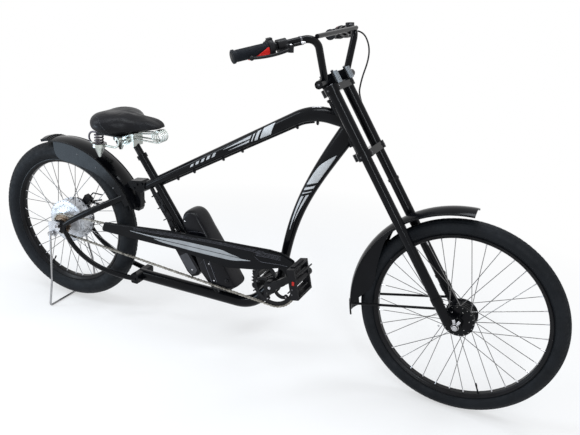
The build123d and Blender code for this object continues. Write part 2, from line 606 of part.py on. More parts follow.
def frame_tubes():
    below, above = st(steer_v, head_low_s - head_tube_d), st(steer_v, head_high_s + head_tube_d)
    bore = rod(below, above, head_tube_d * 0.715)
    flange = head_tube_d * 0.2
    head = rod(st(steer_v, head_low_s), st(steer_v, head_high_s), head_tube_d)
    head = head + rod(st(steer_v, head_low_s), st(steer_v, head_low_s + flange), head_tube_d * 1.12)
    head = head + rod(st(steer_v, head_high_s - flange), st(steer_v, head_high_s), head_tube_d * 1.12)
    parts["head_tube"] = head - bore
    core = rod(below, above, head_tube_d)
    for s0, s1 in ((head_low_s - 1, head_low_s + flange + 0.1), (head_high_s - flange - 0.1, head_high_s + 1)):
        core = core + rod(st(steer_v, s0), st(steer_v, s1), head_tube_d * 1.13)
    end = head_at(0.52)
    rise, fall = tan(radians(top_tube_slope)), tan(radians(arch_drop))
    knee_x = (end.Z + end.X * fall - seat_cross_z + seat_cross_x * rise) / (rise + fall)
    knee = top_line(knee_x)
    rise_dir = (knee - top_line(bracket_x)).normalized()
    fall_dir = (end - knee).normalized()
    run = arch_r * tan(radians((top_tube_slope + arch_drop) / 2))
    a, b = knee - rise_dir * run, knee + fall_dir * run
    mid_dir = (rise_dir + fall_dir).normalized()
    bulge = arch_r / cos(radians((top_tube_slope + arch_drop) / 2)) - arch_r
    crest = knee - Vector(-mid_dir.Z, 0, mid_dir.X) * bulge
    w, h = top_tube_d, top_tube_d
    tube = tapered(Line(top_line(bracket_x), a),
                   [(0, 0.83 * w, 0.8 * h), (0.5, 0.88 * w, 0.95 * h), (1, 0.94 * w, 1.08 * h)])
    tube = tube + tapered(ThreePointArc(a, crest, b), [(0, 0.94 * w, 1.08 * h), (0.33, 0.97 * w, 1.13 * h),
                                                       (0.67, w, 1.18 * h), (1, 1.02 * w, 1.2 * h)])
    tube = tube + tapered(Line(b, end), [(0, 1.02 * w, 1.2 * h), (1, 1.02 * w, 1.22 * h)])
    parts["top_tube"] = biggest(tube - core)
    a, b = head_at(0.3), bb + Vector(bb_shell_d * 0.09, 0, bb_shell_d * 0.2)
    span = (a - b).length
    path = Bezier(a, a + Vector(-0.53, 0, -0.85) * span * 0.467, b + Vector(0.13, 0, 0.99) * span * 0.4, b)
    rows = [(0, 1.0, 1.41), (0.2, 0.98, 1.27), (0.4, 0.93, 1.06), (0.6, 0.86, 0.87), (0.8, 0.8, 0.76),
            (1, 0.77, 0.73)]
    down = tapered(path, [(t, down_tube_d * w, down_tube_d * h) for t, w, h in rows])
    shell = rod(bb + Vector(0, -bb_shell_half, 0), bb + Vector(0, bb_shell_half, 0), bb_shell_d)
    parts["down_tube"] = biggest(down - core - shell - parts["top_tube"])
    parts["bottom_bracket"] = shell - rod(bb + Vector(0, -60, 0), bb + Vector(0, 60, 0), bb_shell_d * 0.36)
    knee = Vector(bb_x - lower_tube_d * 2.5, 0, lower_tube_z)
    low = swept([Vector(yoke_x, 0, lower_tube_z), knee, bb], lower_tube_d, lower_tube_d * 2.9)
    parts["lower_tube"] = biggest(low - shell - parts["down_tube"])
    seat = rod(seat_line(-reach_down()), seat_line(seat_clamp_up * 0.65), seat_tube_d)
    seat = seat + rod(seat_line(seat_clamp_up * 0.56), seat_line(seat_clamp_up * 0.65), seat_tube_d * 1.25)
    parts["seat_tube"] = together([seat - parts["lower_tube"] - tube])
    parts["seat_post"] = rod(seat_line(seat_clamp_up * 0.65), seat_line(seat_clamp_up * 1.05), seat_post_d)


def bracket_point(dx, dz):
    anchor = top_line(bracket_x)
    return (anchor.X + dx * bracket_h, anchor.Z + dz * bracket_h)


def rear_frame():
    half = rear_fender_half * 0.46
    shape = [(-0.34, 0.04), (-0.3, 0.15), (-0.2, 0.21), (0.12, 0.25), (0.21, 0.2), (0.2, 0.02), (0.06, -0.08),
             (-0.12, -0.03)]
    body = plate([bracket_point(*p) for p in shape], -half, half, bracket_h * 0.03)
    shape = [(-0.14, 0.1), (0.04, 0.1), (0.03, -0.48), (-0.02, -0.58), (-0.21, -0.58), (-0.23, -0.48),
             (-0.1, -0.36)]
    body = body + plate([bracket_point(*p) for p in shape], -half * 0.6, half * 0.6, bracket_h * 0.03)
    for dx, dz in ((-0.02, 0.13), (-0.11, 0.03), (0.13, 0.17)):
        x, z = bracket_point(dx, dz)
        body = body + disc(Vector(x, 0, z), bracket_h * 0.03, -half - 1.4 * fender_t, half + 1.4 * fender_t)
    x, z = bracket_point(-0.05, -0.46)
    body = body + disc(Vector(x, 0, z), bracket_h * 0.035, -half, half)
    cut = union([parts["top_tube"], parts["rear_fender"]])
    parts["rear_bracket"] = biggest(body - cut)
    side_y = half + stay_d * 0.62
    uppers, lowers, drops = [], [], []
    end = top_line(bracket_x)
    drop_t = stay_d * 0.22
    hole = axle_d / 2 + snug
    for side in (-1, 1):
        y = side * dropout_half
        path = Spline(Vector(stay_d * 1.3, y, rear_axle_z),
                      Vector(stay_d * 8.3, side * dropout_half * 0.94, rear_axle_z + stay_d * 4.6),
                      Vector(end.X * 0.86, side * (side_y + stay_d * 0.5), end.Z - stay_d * 1.9),
                      Vector(end.X, side * side_y, end.Z))
        uppers.append(tapered(path, [(0, stay_d, 1.2 * stay_d), (0.3, stay_d, 1.5 * stay_d),
                                     (0.7, stay_d, 1.5 * stay_d), (1, stay_d * 0.9, 1.3 * stay_d)]))
        z0 = lower_tube_z
        drop_z = rear_axle_z - z0
        path = Spline((blade_d * 1.3, side * dropout_half * 0.97, rear_axle_z - blade_d),
                      (yoke_x * 0.2, side * dropout_half * 0.97, z0 + drop_z * 0.53),
                      (yoke_x * 0.343, side * dropout_half * 0.96, z0 + drop_z * 0.3),
                      (yoke_x * 0.51, side * dropout_half * 0.93, z0 + drop_z * 0.145),
                      (yoke_x * 0.7, side * dropout_half * 0.87, z0 + drop_z * 0.065),
                      (yoke_x * 0.9, side * dropout_half * 0.76, z0 + drop_z * 0.02),
                      (yoke_x * 1.03, side * dropout_half * 0.62, z0))
        lowers.append(tapered(path, [(0, 0.7 * blade_d, 1.1 * blade_d), (0.25, 0.75 * blade_d, 1.1 * blade_d),
                                     (0.6, 0.85 * blade_d, 1.05 * blade_d), (1, blade_d, 1.05 * blade_d)]))
        shape = [(-1.5, -1.1), (-1.4, 1.0), (0.4, 1.4), (2.3, 0.9), (1.9, -1.6), (0.7, -2.0)]
        points = [(stay_d * u, rear_axle_z + stay_d * w) for u, w in shape]
        spot = plate(points, y - drop_t, y + drop_t, stay_d * 0.3)
        drops.append(spot - disc(rear_axle, hole, y - stay_d, y + stay_d))
    plates = together(drops)
    parts["dropouts"] = plates
    fixed = union([plates, parts["rear_bracket"], parts["rear_fender"]])
    parts["upper_stays"] = together([biggest(s - fixed) for s in uppers])
    parts["lower_stays"] = together([biggest(b - plates) for b in lowers])
    x0, h = yoke_x * 0.975, blade_d * 0.95
    width = dropout_half * 0.72
    x1, low_z, high_z = x0 + 1.7 * h, lower_tube_z - h, lower_tube_z + h * 1.05
    yoke = plate([(x0, low_z), (x1, low_z), (x1, high_z), (x0, high_z)], -width, width, h * 0.35)
    parts["lower_yoke"] = biggest(yoke - parts["lower_tube"] - parts["lower_stays"])
    nut_in = dropout_half + drop_t + stay_d * 0.33
    nut_out = nut_in + axle_d * 0.75
    stub = axle_d * 0.8
    out = rod(rear_axle + Vector(0, -nut_out - stub, 0), rear_axle + Vector(0, nut_out + stub, 0), axle_d)
    for side in (-1, 1):
        start = nut_in if side > 0 else -nut_out
        plane = Plane(rear_axle + Vector(0, start, 0), z_dir=(0, 1, 0))
        out = out + extrude(plane * RegularPolygon(axle_d * 1.08, 6), nut_out - nut_in)
    parts["rear_axle"] = out
    return nut_in


def guard_point(fx, fz):
    return (bb_x * fx, bb_z * fz)


def guard():
    y1 = chain_y - chain_pitch * 0.95
    t = chain_pitch * 0.28
    shape = [(0.221, 1.155), (0.239, 1.28), (0.555, 1.373), (0.904, 1.419), (0.986, 1.432), (1.04, 1.425),
             (1.088, 1.36), (1.068, 1.127), (1.04, 1.25), (0.93, 1.146), (0.814, 1.085), (0.577, 1.153)]
    shield = plate([guard_point(*p) for p in shape], y1 - t, y1, chain_pitch * 0.7)
    hood = [(0.914, 1.334), (0.945, 1.28), (0.948, 1.247), (1.04, 1.257), (1.066, 1.14), (1.082, 1.35),
            (1.03, 1.41), (0.94, 1.41)]
    shield = shield + plate([guard_point(*p) for p in hood], y1 - t * 1.9, y1 - t / 2, chain_pitch * 0.3)
    bead = [guard_point(*p) for p in ((0.236, 1.262), (0.555, 1.353), (0.9, 1.399), (0.986, 1.413))]
    shield = shield + swept([(x, y1 - t, z) for x, z in bead], chain_pitch * 0.36, chain_pitch * 5)
    tab_z = bb_z * 1.34
    back = (seat_cross_z - tab_z) / tan(radians(seat_angle))
    anchor = Vector(seat_cross_x + back, 0, tab_z)
    tab_r = chain_pitch * 0.7
    rear_tab = rod(anchor, anchor + Vector(0, y1, 0), tab_r) - parts["seat_tube"]
    front = Vector(bb_x * 1.015, 0, bb_z * 1.36)
    front_tab = rod(front, front + Vector(0, y1, 0), tab_r) - parts["down_tube"]
    tabs = [tab.solids().sort_by(Axis.Y)[0] for tab in (rear_tab, front_tab)]
    parts["chain_guard"] = union([shield] + tabs)


def electrics():
    """Battery held along the front of the seat tube, control box behind it."""
    n = battery_len
    half = battery_w / 2
    post = rod(seat_line(-reach_down()), seat_line(seat_clamp_up * 0.5), seat_tube_d + 0.2)
    low = seat_line(-reach_down() * 0.88)

    def spot(along, across):
        """Shares of the battery length, up the seat tube and forward of it."""
        up_line, fore_line = seat_line(1) - seat_line(0), seat_line(0) - seat_line(0, 1)
        return low + up_line * (along * n) + fore_line * (across * n)

    shape = [(-0.07, 0.045), (0.16, 0.008), (0.84, 0.136), (0.915, 0.175), (0.953, 0.245), (0.945, 0.32),
             (0.895, 0.378), (0.81, 0.404), (0.55, 0.4), (-0.17, 0.37), (-0.18, 0.2)]
    corners = [spot(a, c) for a, c in shape]
    block = plate([(p.X, p.Z) for p in corners], -half, half, n * 0.022)
    outer = [e for e in block.edges() if abs(e.center().Y) > half - 0.5]
    block = fillet(outer, n * 0.06)
    rail = [spot(a, c) for a, c in ((0.05, 0.0), (0.8, 0.0), (0.86, 0.16), (0.05, 0.1))]
    block = block + plate([(p.X, p.Z) for p in rail], -half * 0.42, half * 0.42)
    parts["battery_case"] = biggest(block - post - parts["chain_guard"])
    shape = [(0.74, -0.2), (0.28, -0.213), (0.19, -0.185), (0.17, -0.09), (0.2, -0.02), (0.74, -0.03)]
    corners = [spot(a, c) for a, c in shape]
    case_half = half * 0.66
    box = plate([(p.X, p.Z) for p in corners], -case_half, case_half, n * 0.02)
    box = fillet([e for e in box.edges() if abs(e.center().Y) > case_half - 0.5], n * 0.012)
    parts["controller"] = biggest(box - post - parts["battery_case"])
    line = [seat_line(seat_tube_d * -0.3, seat_tube_d * 1.15), seat_line(seat_tube_d * -2.2, seat_tube_d * 1.3),
            seat_line(seat_tube_d * -4.6, seat_tube_d * 1.25), seat_line(seat_tube_d * -6.6, seat_tube_d * 1.6)]
    loom = swept(line, seat_tube_d * 0.5, seat_tube_d)
    plug_run = (line[-1] - line[-2]).normalized() * seat_tube_d * 0.7
    loom = loom + rod(line[-1], line[-1] + plug_run, seat_tube_d * 0.72)
    for d in (-2.2, -4.6):
        a, b = seat_line(seat_tube_d * d, seat_tube_d * 1.3), seat_line(seat_tube_d * d)
        loom = loom + rod(a, b, seat_tube_d * 0.3)
    parts["wiring"] = biggest(loom - post - parts["top_tube"] - parts["controller"] - parts["rear_bracket"])


# ---- saddle ----
def saddle_shape(x, half, high, low):
    """Domed cross-section of the pad at one place along it."""
    plane = Plane((x, 0, 0), x_dir=(0, 1, 0), z_dir=(1, 0, 0))
    h = high - low
    side = [(half * 0.6, low), (half * 0.95, low + h * 0.18), (half, low + h * 0.55),
            (half * 0.8, high - h * 0.1)]
    points = [(0, low)] + side + [(0, high)] + [(-y, z) for y, z in reversed(side)]
    return (plane * make_face(Spline(*points, periodic=True))).face()


def saddle():
    top = seat_line(seat_clamp_up * 1.05)
    x0, z0 = top.X - saddle_back, top.Z + saddle_rise
    n, w = saddle_len, saddle_w / 2
    rows = [(0.0, 0.5, 0.085, 0.2), (0.05, 0.76, 0.04, 0.24), (0.15, 0.95, 0.012, 0.27), (0.3, 1.0, 0.0, 0.28),
            (0.43, 0.9, 0.008, 0.28), (0.55, 0.67, 0.03, 0.265), (0.67, 0.5, 0.045, 0.24), (0.8, 0.42, 0.055, 0.215),
            (0.92, 0.36, 0.08, 0.195), (0.98, 0.27, 0.115, 0.185), (1.0, 0.17, 0.145, 0.18)]
    sections = [saddle_shape(x0 + x * n, half * w, z0 - hi * n, z0 - lo * n) for x, half, hi, lo in rows]
    parts["saddle_pad"] = loft(sections)
    pan_z, pan_t = z0 - n * 0.293, n * 0.02
    pan = Pos(x0 + n * 0.32, 0, pan_z) * Box(n * 0.4, w * 1.3, pan_t)
    pan = pan + Pos(x0 + n * 0.3, 0, pan_z + n * 0.02) * Box(n * 0.3, w * 0.9, n * 0.06)
    parts["saddle_pan"] = biggest(pan - parts["saddle_pad"])
    wire = n * 0.026
    loop_h = n * 0.165
    loop_c = Vector(x0 + n * 0.2, 0, pan_z - pan_t - loop_h * 0.42)
    coil_r = n * 0.08
    coil_c = Vector(x0 + n * 0.96, 0, z0 - n * 0.27)
    clamp_w = seat_post_d * 2.2
    clamp = Pos(top.X + seat_post_d * 0.1, 0, top.Z) * Box(seat_post_d * 1.9, clamp_w, coil_r * 2.2)
    bolt = rod((top.X, -clamp_w * 0.68, top.Z), (top.X, clamp_w * 0.68, top.Z), seat_post_d * 0.9)
    frame = clamp + bolt + rod(top, seat_line(seat_clamp_up), seat_post_d * 1.35)
    spring_y = w * 0.52
    for side in (-1, 1):
        y = side * spring_y
        loop_plane = Plane((loop_c.X, y, loop_c.Z), x_dir=(1, 0, 0), z_dir=(0, -1, 0))
        oval = loop_plane * RectangleRounded(n * 0.5, loop_h, loop_h * 0.49)
        path = oval.face().outer_wire()
        frame = frame + sweep(Plane(path @ 0, z_dir=path % 0) * Circle(wire / 2), path=path)
        spot = Vector(loop_c.X - n * 0.08, y, loop_c.Z - loop_h / 2)
        cup = rod(spot - Vector(0, 0, wire * 0.9), spot + Vector(0, 0, wire * 0.8), n * 0.2)
        cone_foot = Plane(spot - Vector(0, 0, n * 0.17), z_dir=(0, 0, 1))
        cone = Solid.make_cone(n * 0.022, n * 0.085, n * 0.15, cone_foot)
        coil = Helix(pitch=wire * 1.45, height=pan_z - spot.Z - pan_t, radius=n * 0.055, center=spot)
        spring = sweep(Plane(coil @ 0, z_dir=coil % 0) * Circle(wire * 0.42), path=coil)
        frame = frame + cup + cone + spring
        frame = frame + rod((top.X, side * clamp_w * 0.4, top.Z), (loop_c.X + n * 0.24, y, loop_c.Z), wire)
        rail_y = side * clamp_w * 0.3
        for z in (coil_c.Z - coil_r, coil_c.Z + coil_r * 0.5):
            frame = frame + rod((top.X, rail_y, min(z, top.Z + coil_r)), (coil_c.X, rail_y, z), wire * 0.8)
    width = clamp_w * 0.72
    for turn in range(4):
        y = width * (turn - 1.5) / 3.5
        frame = frame + Pos(coil_c.X, y, coil_c.Z) * Torus(coil_r, wire * 0.32, rotation=(90, 0, 0))
    frame = frame + Pos(coil_c.X, 0, coil_c.Z + coil_r) * Box(wire * 2, width, wire * 1.2)
    parts["saddle_frame"] = biggest(frame - parts["seat_post"] - parts["saddle_pan"] - parts["saddle_pad"])


def rear_brake():
    y = motor_far + 0.36 * motor_w + rotor_r * 0.0125
    t = rotor_r * 0.3
    spot = polar(rear_axle, rotor_r * 1.06, 58)
    body = Pos(spot.X, y, spot.Z) * (Rot(0, 32, 0) * Box(rotor_r * 0.38, t, rotor_r * 0.66))
    body = body + Pos(spot.X, y + t * 0.4, spot.Z) * Cylinder(rotor_r * 0.17, t * 0.8, rotation=(90, 0, 0))
    slot = ring(rear_axle, rotor_r * 1.08, axle_d, y - rotor_r * 0.035, y + rotor_r * 0.035)
    target = Vector(stay_d * 6.5, dropout_half * 0.95, rear_axle_z + stay_d * 3.6)
    arm = rod(Vector(spot.X + rotor_r * 0.1, y + t * 0.4, spot.Z), target, stay_d * 0.62)
    whole = (body - slot) + (arm - parts["upper_stays"])
    hose_start = Vector(spot.X + rotor_r * 0.12, y + t * 0.45, spot.Z + rotor_r * 0.25)
    hose = swept([hose_start, hose_start + Vector(rotor_r * 0.2, 0, rotor_r * 0.22),
                  hose_start + Vector(rotor_r * 0.75, t * 0.1, rotor_r * 0.2)], rotor_r * 0.065, rotor_r * 0.1)
    parts["brake_caliper"] = biggest(whole + hose)


def stand(plate_start):
    pivot = Vector(stand_pivot_x, 0, stand_pivot_z)
    foot = Vector(stand_foot_x, 0, stand_rod_d / 2)
    drop_t = stay_d * 0.22
    plate_y = dropout_half + drop_t + (plate_start - dropout_half - drop_t) / 2
    plate_half = (plate_start - dropout_half - drop_t) / 2 - 0.1
    y_top = dropout_half + stand_rod_d * 2.5
    knee_x, knee_y = stand_foot_x + stand_rod_d * 0.8, stand_foot_half - stand_rod_d * 1.8
    knee_z = stand_pivot_z * 0.39
    pts = [pivot + Vector(0, -y_top, 0), Vector(knee_x, -knee_y, knee_z), foot + Vector(0, -stand_foot_half, 0),
           foot + Vector(0, stand_foot_half, 0), Vector(knee_x, knee_y, knee_z), pivot + Vector(0, y_top, 0)]
    u_bar = swept(pts, stand_rod_d, stand_rod_d * 1.3)
    pin_r = stand_rod_d / 2
    for side in (-1, 1):
        a, b = side * y_top - pin_r, side * y_top + pin_r
        u_bar = u_bar - disc(pivot, pin_r + 0.05, a - 2, b + 2) + ring(pivot, pin_r * 2.5, pin_r + 0.05, a, b)
    parts["stand"] = u_bar
    plates = []
    m = stay_d
    shape = [(-2.9, -0.75, 0), (-2.9, 0.5, 1), (-1.0, 1.0, 1), (0.7, 0.9, 1), (0.7, -0.9, 1), (-0.9, -0.9, 0)]
    for side in (-1, 1):
        y = side * plate_y
        points = [(m * u, (rear_axle_z if upper else stand_pivot_z) + m * w) for u, w, upper in shape]
        p = plate(points, y - plate_half, y + plate_half) - disc(rear_axle, axle_d / 2 + snug, y - m, y + m)
        pin = rod(pivot + Vector(0, y, 0), pivot + Vector(0, side * (y_top + pin_r * 1.6), 0), stand_rod_d)
        plates.append(p + pin)
    parts["stand_bracket"] = together(plates)


front_wheel()
rear_wheel()
drive()
crankset()
parts["pedal_right"] = pedal(-1)
parts["pedal_left"] = pedal(1)
fork()
handlebar()
bar_gear()
cables()
fenders()
frame_tubes()
nut_face = rear_frame()
guard()
electrics()
saddle()
rear_brake()
stand(nut_face)

# ---- row frame and export ----
mid_x = (wheelbase + front_r - rear_r) / 2
os.makedirs("parts", exist_ok=True)
for name, shape in parts.items():
    placed = [Pos(-mid_x, 0, 0) * solid for solid in shape.solids()]
    export_step(placed[0] if len(placed) == 1 else Compound(children=placed), f"parts/{name}.step")
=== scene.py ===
import json
import math
import bmesh
import bpy
from mathutils import Matrix, Vector
from mathutils.bvhtree import BVHTree


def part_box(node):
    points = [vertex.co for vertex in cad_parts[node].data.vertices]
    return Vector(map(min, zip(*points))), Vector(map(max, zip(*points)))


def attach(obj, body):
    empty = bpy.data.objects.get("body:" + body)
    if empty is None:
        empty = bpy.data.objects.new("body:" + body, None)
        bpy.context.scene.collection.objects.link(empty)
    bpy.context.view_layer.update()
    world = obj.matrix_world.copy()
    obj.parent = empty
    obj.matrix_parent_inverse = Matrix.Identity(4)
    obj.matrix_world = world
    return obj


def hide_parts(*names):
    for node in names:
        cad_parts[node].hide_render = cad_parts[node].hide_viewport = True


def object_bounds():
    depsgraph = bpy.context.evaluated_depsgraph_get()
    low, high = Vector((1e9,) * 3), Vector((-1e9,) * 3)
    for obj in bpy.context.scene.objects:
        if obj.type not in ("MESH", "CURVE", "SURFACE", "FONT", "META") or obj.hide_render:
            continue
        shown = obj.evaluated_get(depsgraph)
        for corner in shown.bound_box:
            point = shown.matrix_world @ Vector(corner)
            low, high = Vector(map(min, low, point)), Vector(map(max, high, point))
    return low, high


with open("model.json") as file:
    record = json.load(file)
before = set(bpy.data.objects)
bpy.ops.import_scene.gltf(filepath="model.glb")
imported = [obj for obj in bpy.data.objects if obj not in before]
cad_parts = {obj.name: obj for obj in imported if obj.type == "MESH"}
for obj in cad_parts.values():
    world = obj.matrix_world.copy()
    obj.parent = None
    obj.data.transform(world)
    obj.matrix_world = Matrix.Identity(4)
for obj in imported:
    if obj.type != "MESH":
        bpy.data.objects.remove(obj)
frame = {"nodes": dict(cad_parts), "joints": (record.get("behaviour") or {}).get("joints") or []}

# Dressing of the electric chopper bicycle. Metres, X forward, Y to the rider's left, Z up.
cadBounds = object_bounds()
mm = 0.001
print("frame loaded with", len(frame["nodes"]), "nodes")


# places read from the frame
def jointData(name):
    return next(joint for joint in frame["joints"] if joint["name"] == name)


def jointPoint(name):
    return Vector(jointData(name)["pos_m"])


def boxSize(node):
    low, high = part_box(node)
    return high - low


def boxMiddle(node):
    low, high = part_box(node)
    return (high + low) / 2


rearAxle = jointPoint("rear_wheel_spin")
frontAxle = jointPoint("front_wheel_spin")
crankAxis = jointPoint("crank_spin")
forkUp = Vector(jointData("steer")["axis"]).normalized()
forkAhead = Vector((forkUp.z, 0, -forkUp.x))
across = Vector((0, 1, 0))
upward = Vector((0, 0, 1))
forward = Vector((1, 0, 0))

forkSizes = {
    "legAhead": -20.5 * mm,       # legs behind the front axle, square to the steering axis
    "steerAhead": -55.5 * mm,
    "legOut": 60 * mm,
    "lowLegRadius": 16 * mm,
    "lowCrownUp": 597 * mm,
    "topCrownUp": 817 * mm,
    "crownThick": 24 * mm,
    "barUp": 843 * mm,
    "barRadius": 11.1 * mm,
    "barBaseRadius": 12.7 * mm,
    "barBaseHalf": 135 * mm,
    "riserHalf": 85 * mm,
    "bendAhead": 72.5 * mm,
    "bendUp": 119 * mm,
    "bendOut": 73.5 * mm,
    "gripRun": (-164.5 * mm, 189.5 * mm, -52.5 * mm),
    "gripRadius": 17 * mm,
    "gripLength": 104 * mm,
}


def forkPoint(ahead, up, out=0.0):
    return frontAxle + forkAhead * ahead + forkUp * up + across * out


def gripLine(side):
    bend = forkPoint(forkSizes["legAhead"] + forkSizes["bendAhead"],
                     forkSizes["barUp"] + forkSizes["bendUp"],
                     side * (forkSizes["riserHalf"] + forkSizes["bendOut"]))
    back, out, drop = forkSizes["gripRun"]
    grip = bend + Vector((back, side * out, drop))
    return grip, (grip - bend).normalized()


def wheelPoint(centre, radius, angle, y=0.0):
    turn = math.radians(angle)
    return centre + Vector((radius * math.cos(turn), y, radius * math.sin(turn)))


# shapes: points and faces gathered before they become one mesh
class Shape:
    def __init__(self):
        self.points = []
        self.faces = []

    def add(self, points, faces):
        start = len(self.points)
        self.points += [tuple(p) for p in points]
        self.faces += [tuple(start + i for i in face) for face in faces]


def squareTo(axis):
    axis = Vector(axis).normalized()
    side = axis.cross(upward)
    if side.length < 0.05:
        side = axis.cross(forward)
    side.normalize()
    return axis, side, axis.cross(side)


def bridgeRings(count, size, closed):
    faces = []
    for ring in range(count if closed else count - 1):
        below, above = ring * size, ((ring + 1) % count) * size
        for i in range(size):
            j = (i + 1) % size
            faces.append((below + i, below + j, above + j, above + i))
    return faces


def inMm(*pairs):
    return [(along * mm, out * mm) for along, out in pairs]


def lathe(shape, centre, axis, profile, turns=48, closed=False):
    axis, side, up = squareTo(axis)
    points = []
    for along, radius in profile:
        for i in range(turns):
            turn = 2 * math.pi * i / turns
            points.append(centre + axis * along + (side * math.cos(turn) + up * math.sin(turn)) * radius)
    faces = bridgeRings(len(profile), turns, closed)
    if not closed:
        faces.append(tuple(range(turns)))
        faces.append(tuple(range(len(points) - turns, len(points))))
    shape.add(points, faces)


def tubeAlong(shape, path, radius, sides=12, closed=False):
    path = [Vector(p) for p in path]
    count = len(path)
    steps = []
    for i in range(count):
        ahead = path[(i + 1) % count] if closed or i < count - 1 else path[i]
        behind = path[i - 1] if closed or i > 0 else path[i]
        steps.append((ahead - behind).normalized())
    side = squareTo(steps[0])[1]
    points = []
    for i in range(count):
        side = (side - steps[i] * side.dot(steps[i])).normalized()
        up = steps[i].cross(side)
        size = radius[i] if isinstance(radius, list) else radius
        for k in range(sides):
            turn = 2 * math.pi * k / sides
            points.append(path[i] + (side * math.cos(turn) + up * math.sin(turn)) * size)
    faces = bridgeRings(count, sides, closed)
    if not closed:
        faces.append(tuple(range(sides)))
        faces.append(tuple(range(len(points) - sides, len(points))))
    shape.add(points, faces)


def prism(shape, outline, depth):
    outline = [Vector(p) for p in outline]
    count = len(outline)
    points = outline + [p + depth for p in outline]
    faces = [tuple(range(count)), tuple(range(count, 2 * count))]
    faces += [(i, (i + 1) % count, count + (i + 1) % count, count + i) for i in range(count)]
    shape.add(points, faces)


def slab(shape, centre, along, wide, thick, sizes):
    # sizes of a slab and of the bolts below are in millimetres
    along, wide, thick = Vector(along).normalized(), Vector(wide).normalized(), Vector(thick).normalized()
    a, b, c = [size * mm / 2 for size in sizes]
    corners = [centre + along * a * u + wide * b * v - thick * c
               for u, v in ((-1, -1), (1, -1), (1, 1), (-1, 1))]
    prism(shape, corners, thick * c * 2)


def hexBolt(shape, at, axis, size, height):
    size, height = size * mm, height * mm
    lathe(shape, at, axis, [(0, size * 0.62), (height * 0.18, size * 0.62), (height * 0.2, size * 0.6)], 20)
    lathe(shape, at, axis, [(height * 0.2, size * 0.5), (height * 0.85, size * 0.5),
                            (height, size * 0.42)], 6)


def domeBolt(shape, at, axis, radius, height, socket=True):
    radius, height = radius * mm, height * mm
    angles = [math.radians(d) for d in range(0, 70, 14)]
    rounding = [(height * math.sin(a), radius * math.cos(a)) for a in angles]
    if socket:
        rounding += [(height * 0.95, radius * 0.34), (height * 0.35, radius * 0.32)]
    lathe(shape, at, axis, rounding, 18)


def catmull(points, steps=8, closed=False):
    points = [Vector(p) for p in points]
    count = len(points)
    out = []
    for i in range(count if closed else count - 1):
        if closed:
            a, b, c, d = [points[(i + k) % count] for k in (-1, 0, 1, 2)]
        else:
            a, b, c, d = [points[min(max(i + k, 0), count - 1)] for k in (-1, 0, 1, 2)]
        for k in range(steps):
            t = k / steps
            out.append(0.5 * (2 * b + (c - a) * t + (2 * a - 5 * b + 4 * c - d) * t ** 2
                              + (3 * b - a - 3 * c + d) * t ** 3))
    if not closed:
        out.append(points[-1])
    return out


def addObject(name, data):
    made = bpy.data.objects.new(name, data)
    bpy.context.scene.collection.objects.link(made)
    return made


def addRider(name, data, body, replaced=()):
    # an object that moves with a body and stands for the solids it replaces
    rider = addObject(name, data)
    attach(rider, body)
    if replaced:
        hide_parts(*replaced)
    return rider


def addPiece(name, shape, finishName, body, creaseAngle=35, replaced=()):
    mesh = bpy.data.meshes.new(name)
    mesh.from_pydata(shape.points, [], shape.faces)
    work = bmesh.new()
    work.from_mesh(mesh)
    bmesh.ops.remove_doubles(work, verts=work.verts, dist=1e-6)
    bmesh.ops.recalc_face_normals(work, faces=work.faces)
    work.to_mesh(mesh)
    work.free()
    mesh.shade_smooth()
    mesh.set_sharp_from_angle(angle=math.radians(creaseAngle))
    mesh.materials.append(finishes[finishName])
    return addRider(name, mesh, body, replaced)


def roundEdges(piece, width, segments=2, angle=32):
    bevel = piece.modifiers.new("roundEdges", "BEVEL")
    bevel.width = width
    bevel.segments = segments
    bevel.limit_method = "ANGLE"
    bevel.angle_limit = math.radians(angle)
    return piece


def thicken(piece, thick):
    skin = piece.modifiers.new("thickness", "SOLIDIFY")
    skin.thickness = thick
    skin.offset = 0
    return piece


def surfaceOf(piece):
    corners = [piece.matrix_world @ v.co for v in piece.data.vertices]
    return BVHTree.FromPolygons(corners, [tuple(p.vertices) for p in piece.data.polygons])


def nodeSurface(node):
    return surfaceOf(bpy.data.objects[node])


def castSide(surface, x, z, side):
    # where a level line from one side of the bicycle meets a surface, and the normal there
    return surface.ray_cast(Vector((x, side * 0.5, z)), across * -side)[:2]


def gridFaces(rows, columns):
    return [(r * columns + k, r * columns + k + 1, (r + 1) * columns + k + 1, (r + 1) * columns + k)
            for r in range(rows - 1) for k in range(columns - 1)]


# finishes
def startFinish(name, colour, roughness, metallic=0.0, **sockets):
    finish = bpy.data.materials.new(name)
    finish.use_nodes = True
    shader = finish.node_tree.nodes["Principled BSDF"]
    shader.inputs["Base Color"].default_value = (*colour, 1)
    shader.inputs["Roughness"].default_value = roughness
    shader.inputs["Metallic"].default_value = metallic
    for socket, value in sockets.items():
        shader.inputs[socket.replace("_", " ")].default_value = value
    finish.diffuse_color = (*colour, 1)
    return finish


def addNode(finish, kind, **values):
    node = finish.node_tree.nodes.new(kind)
    for key, value in values.items():
        if hasattr(node, key) and key not in node.inputs:
            setattr(node, key, value)
        else:
            node.inputs[key].default_value = value
    return node


def wire(finish, out, into):
    finish.node_tree.links.new(out, into)


def shaderOf(finish):
    return finish.node_tree.nodes["Principled BSDF"]


def objectPlace(finish, stretch=(1, 1, 1), turn=(0, 0, 0)):
    place = addNode(finish, "ShaderNodeTexCoord")
    mapping = addNode(finish, "ShaderNodeMapping")
    mapping.inputs["Scale"].default_value = stretch
    mapping.inputs["Rotation"].default_value = turn
    wire(finish, place.outputs["Object"], mapping.inputs["Vector"])
    return mapping.outputs["Vector"]


def grain(finish, scale, detail=3.0, stretch=(1, 1, 1), rough=0.55):
    noise = addNode(finish, "ShaderNodeTexNoise", Scale=scale, Detail=detail, Roughness=rough)
    wire(finish, objectPlace(finish, stretch), noise.inputs["Vector"])
    return noise.outputs["Fac"]


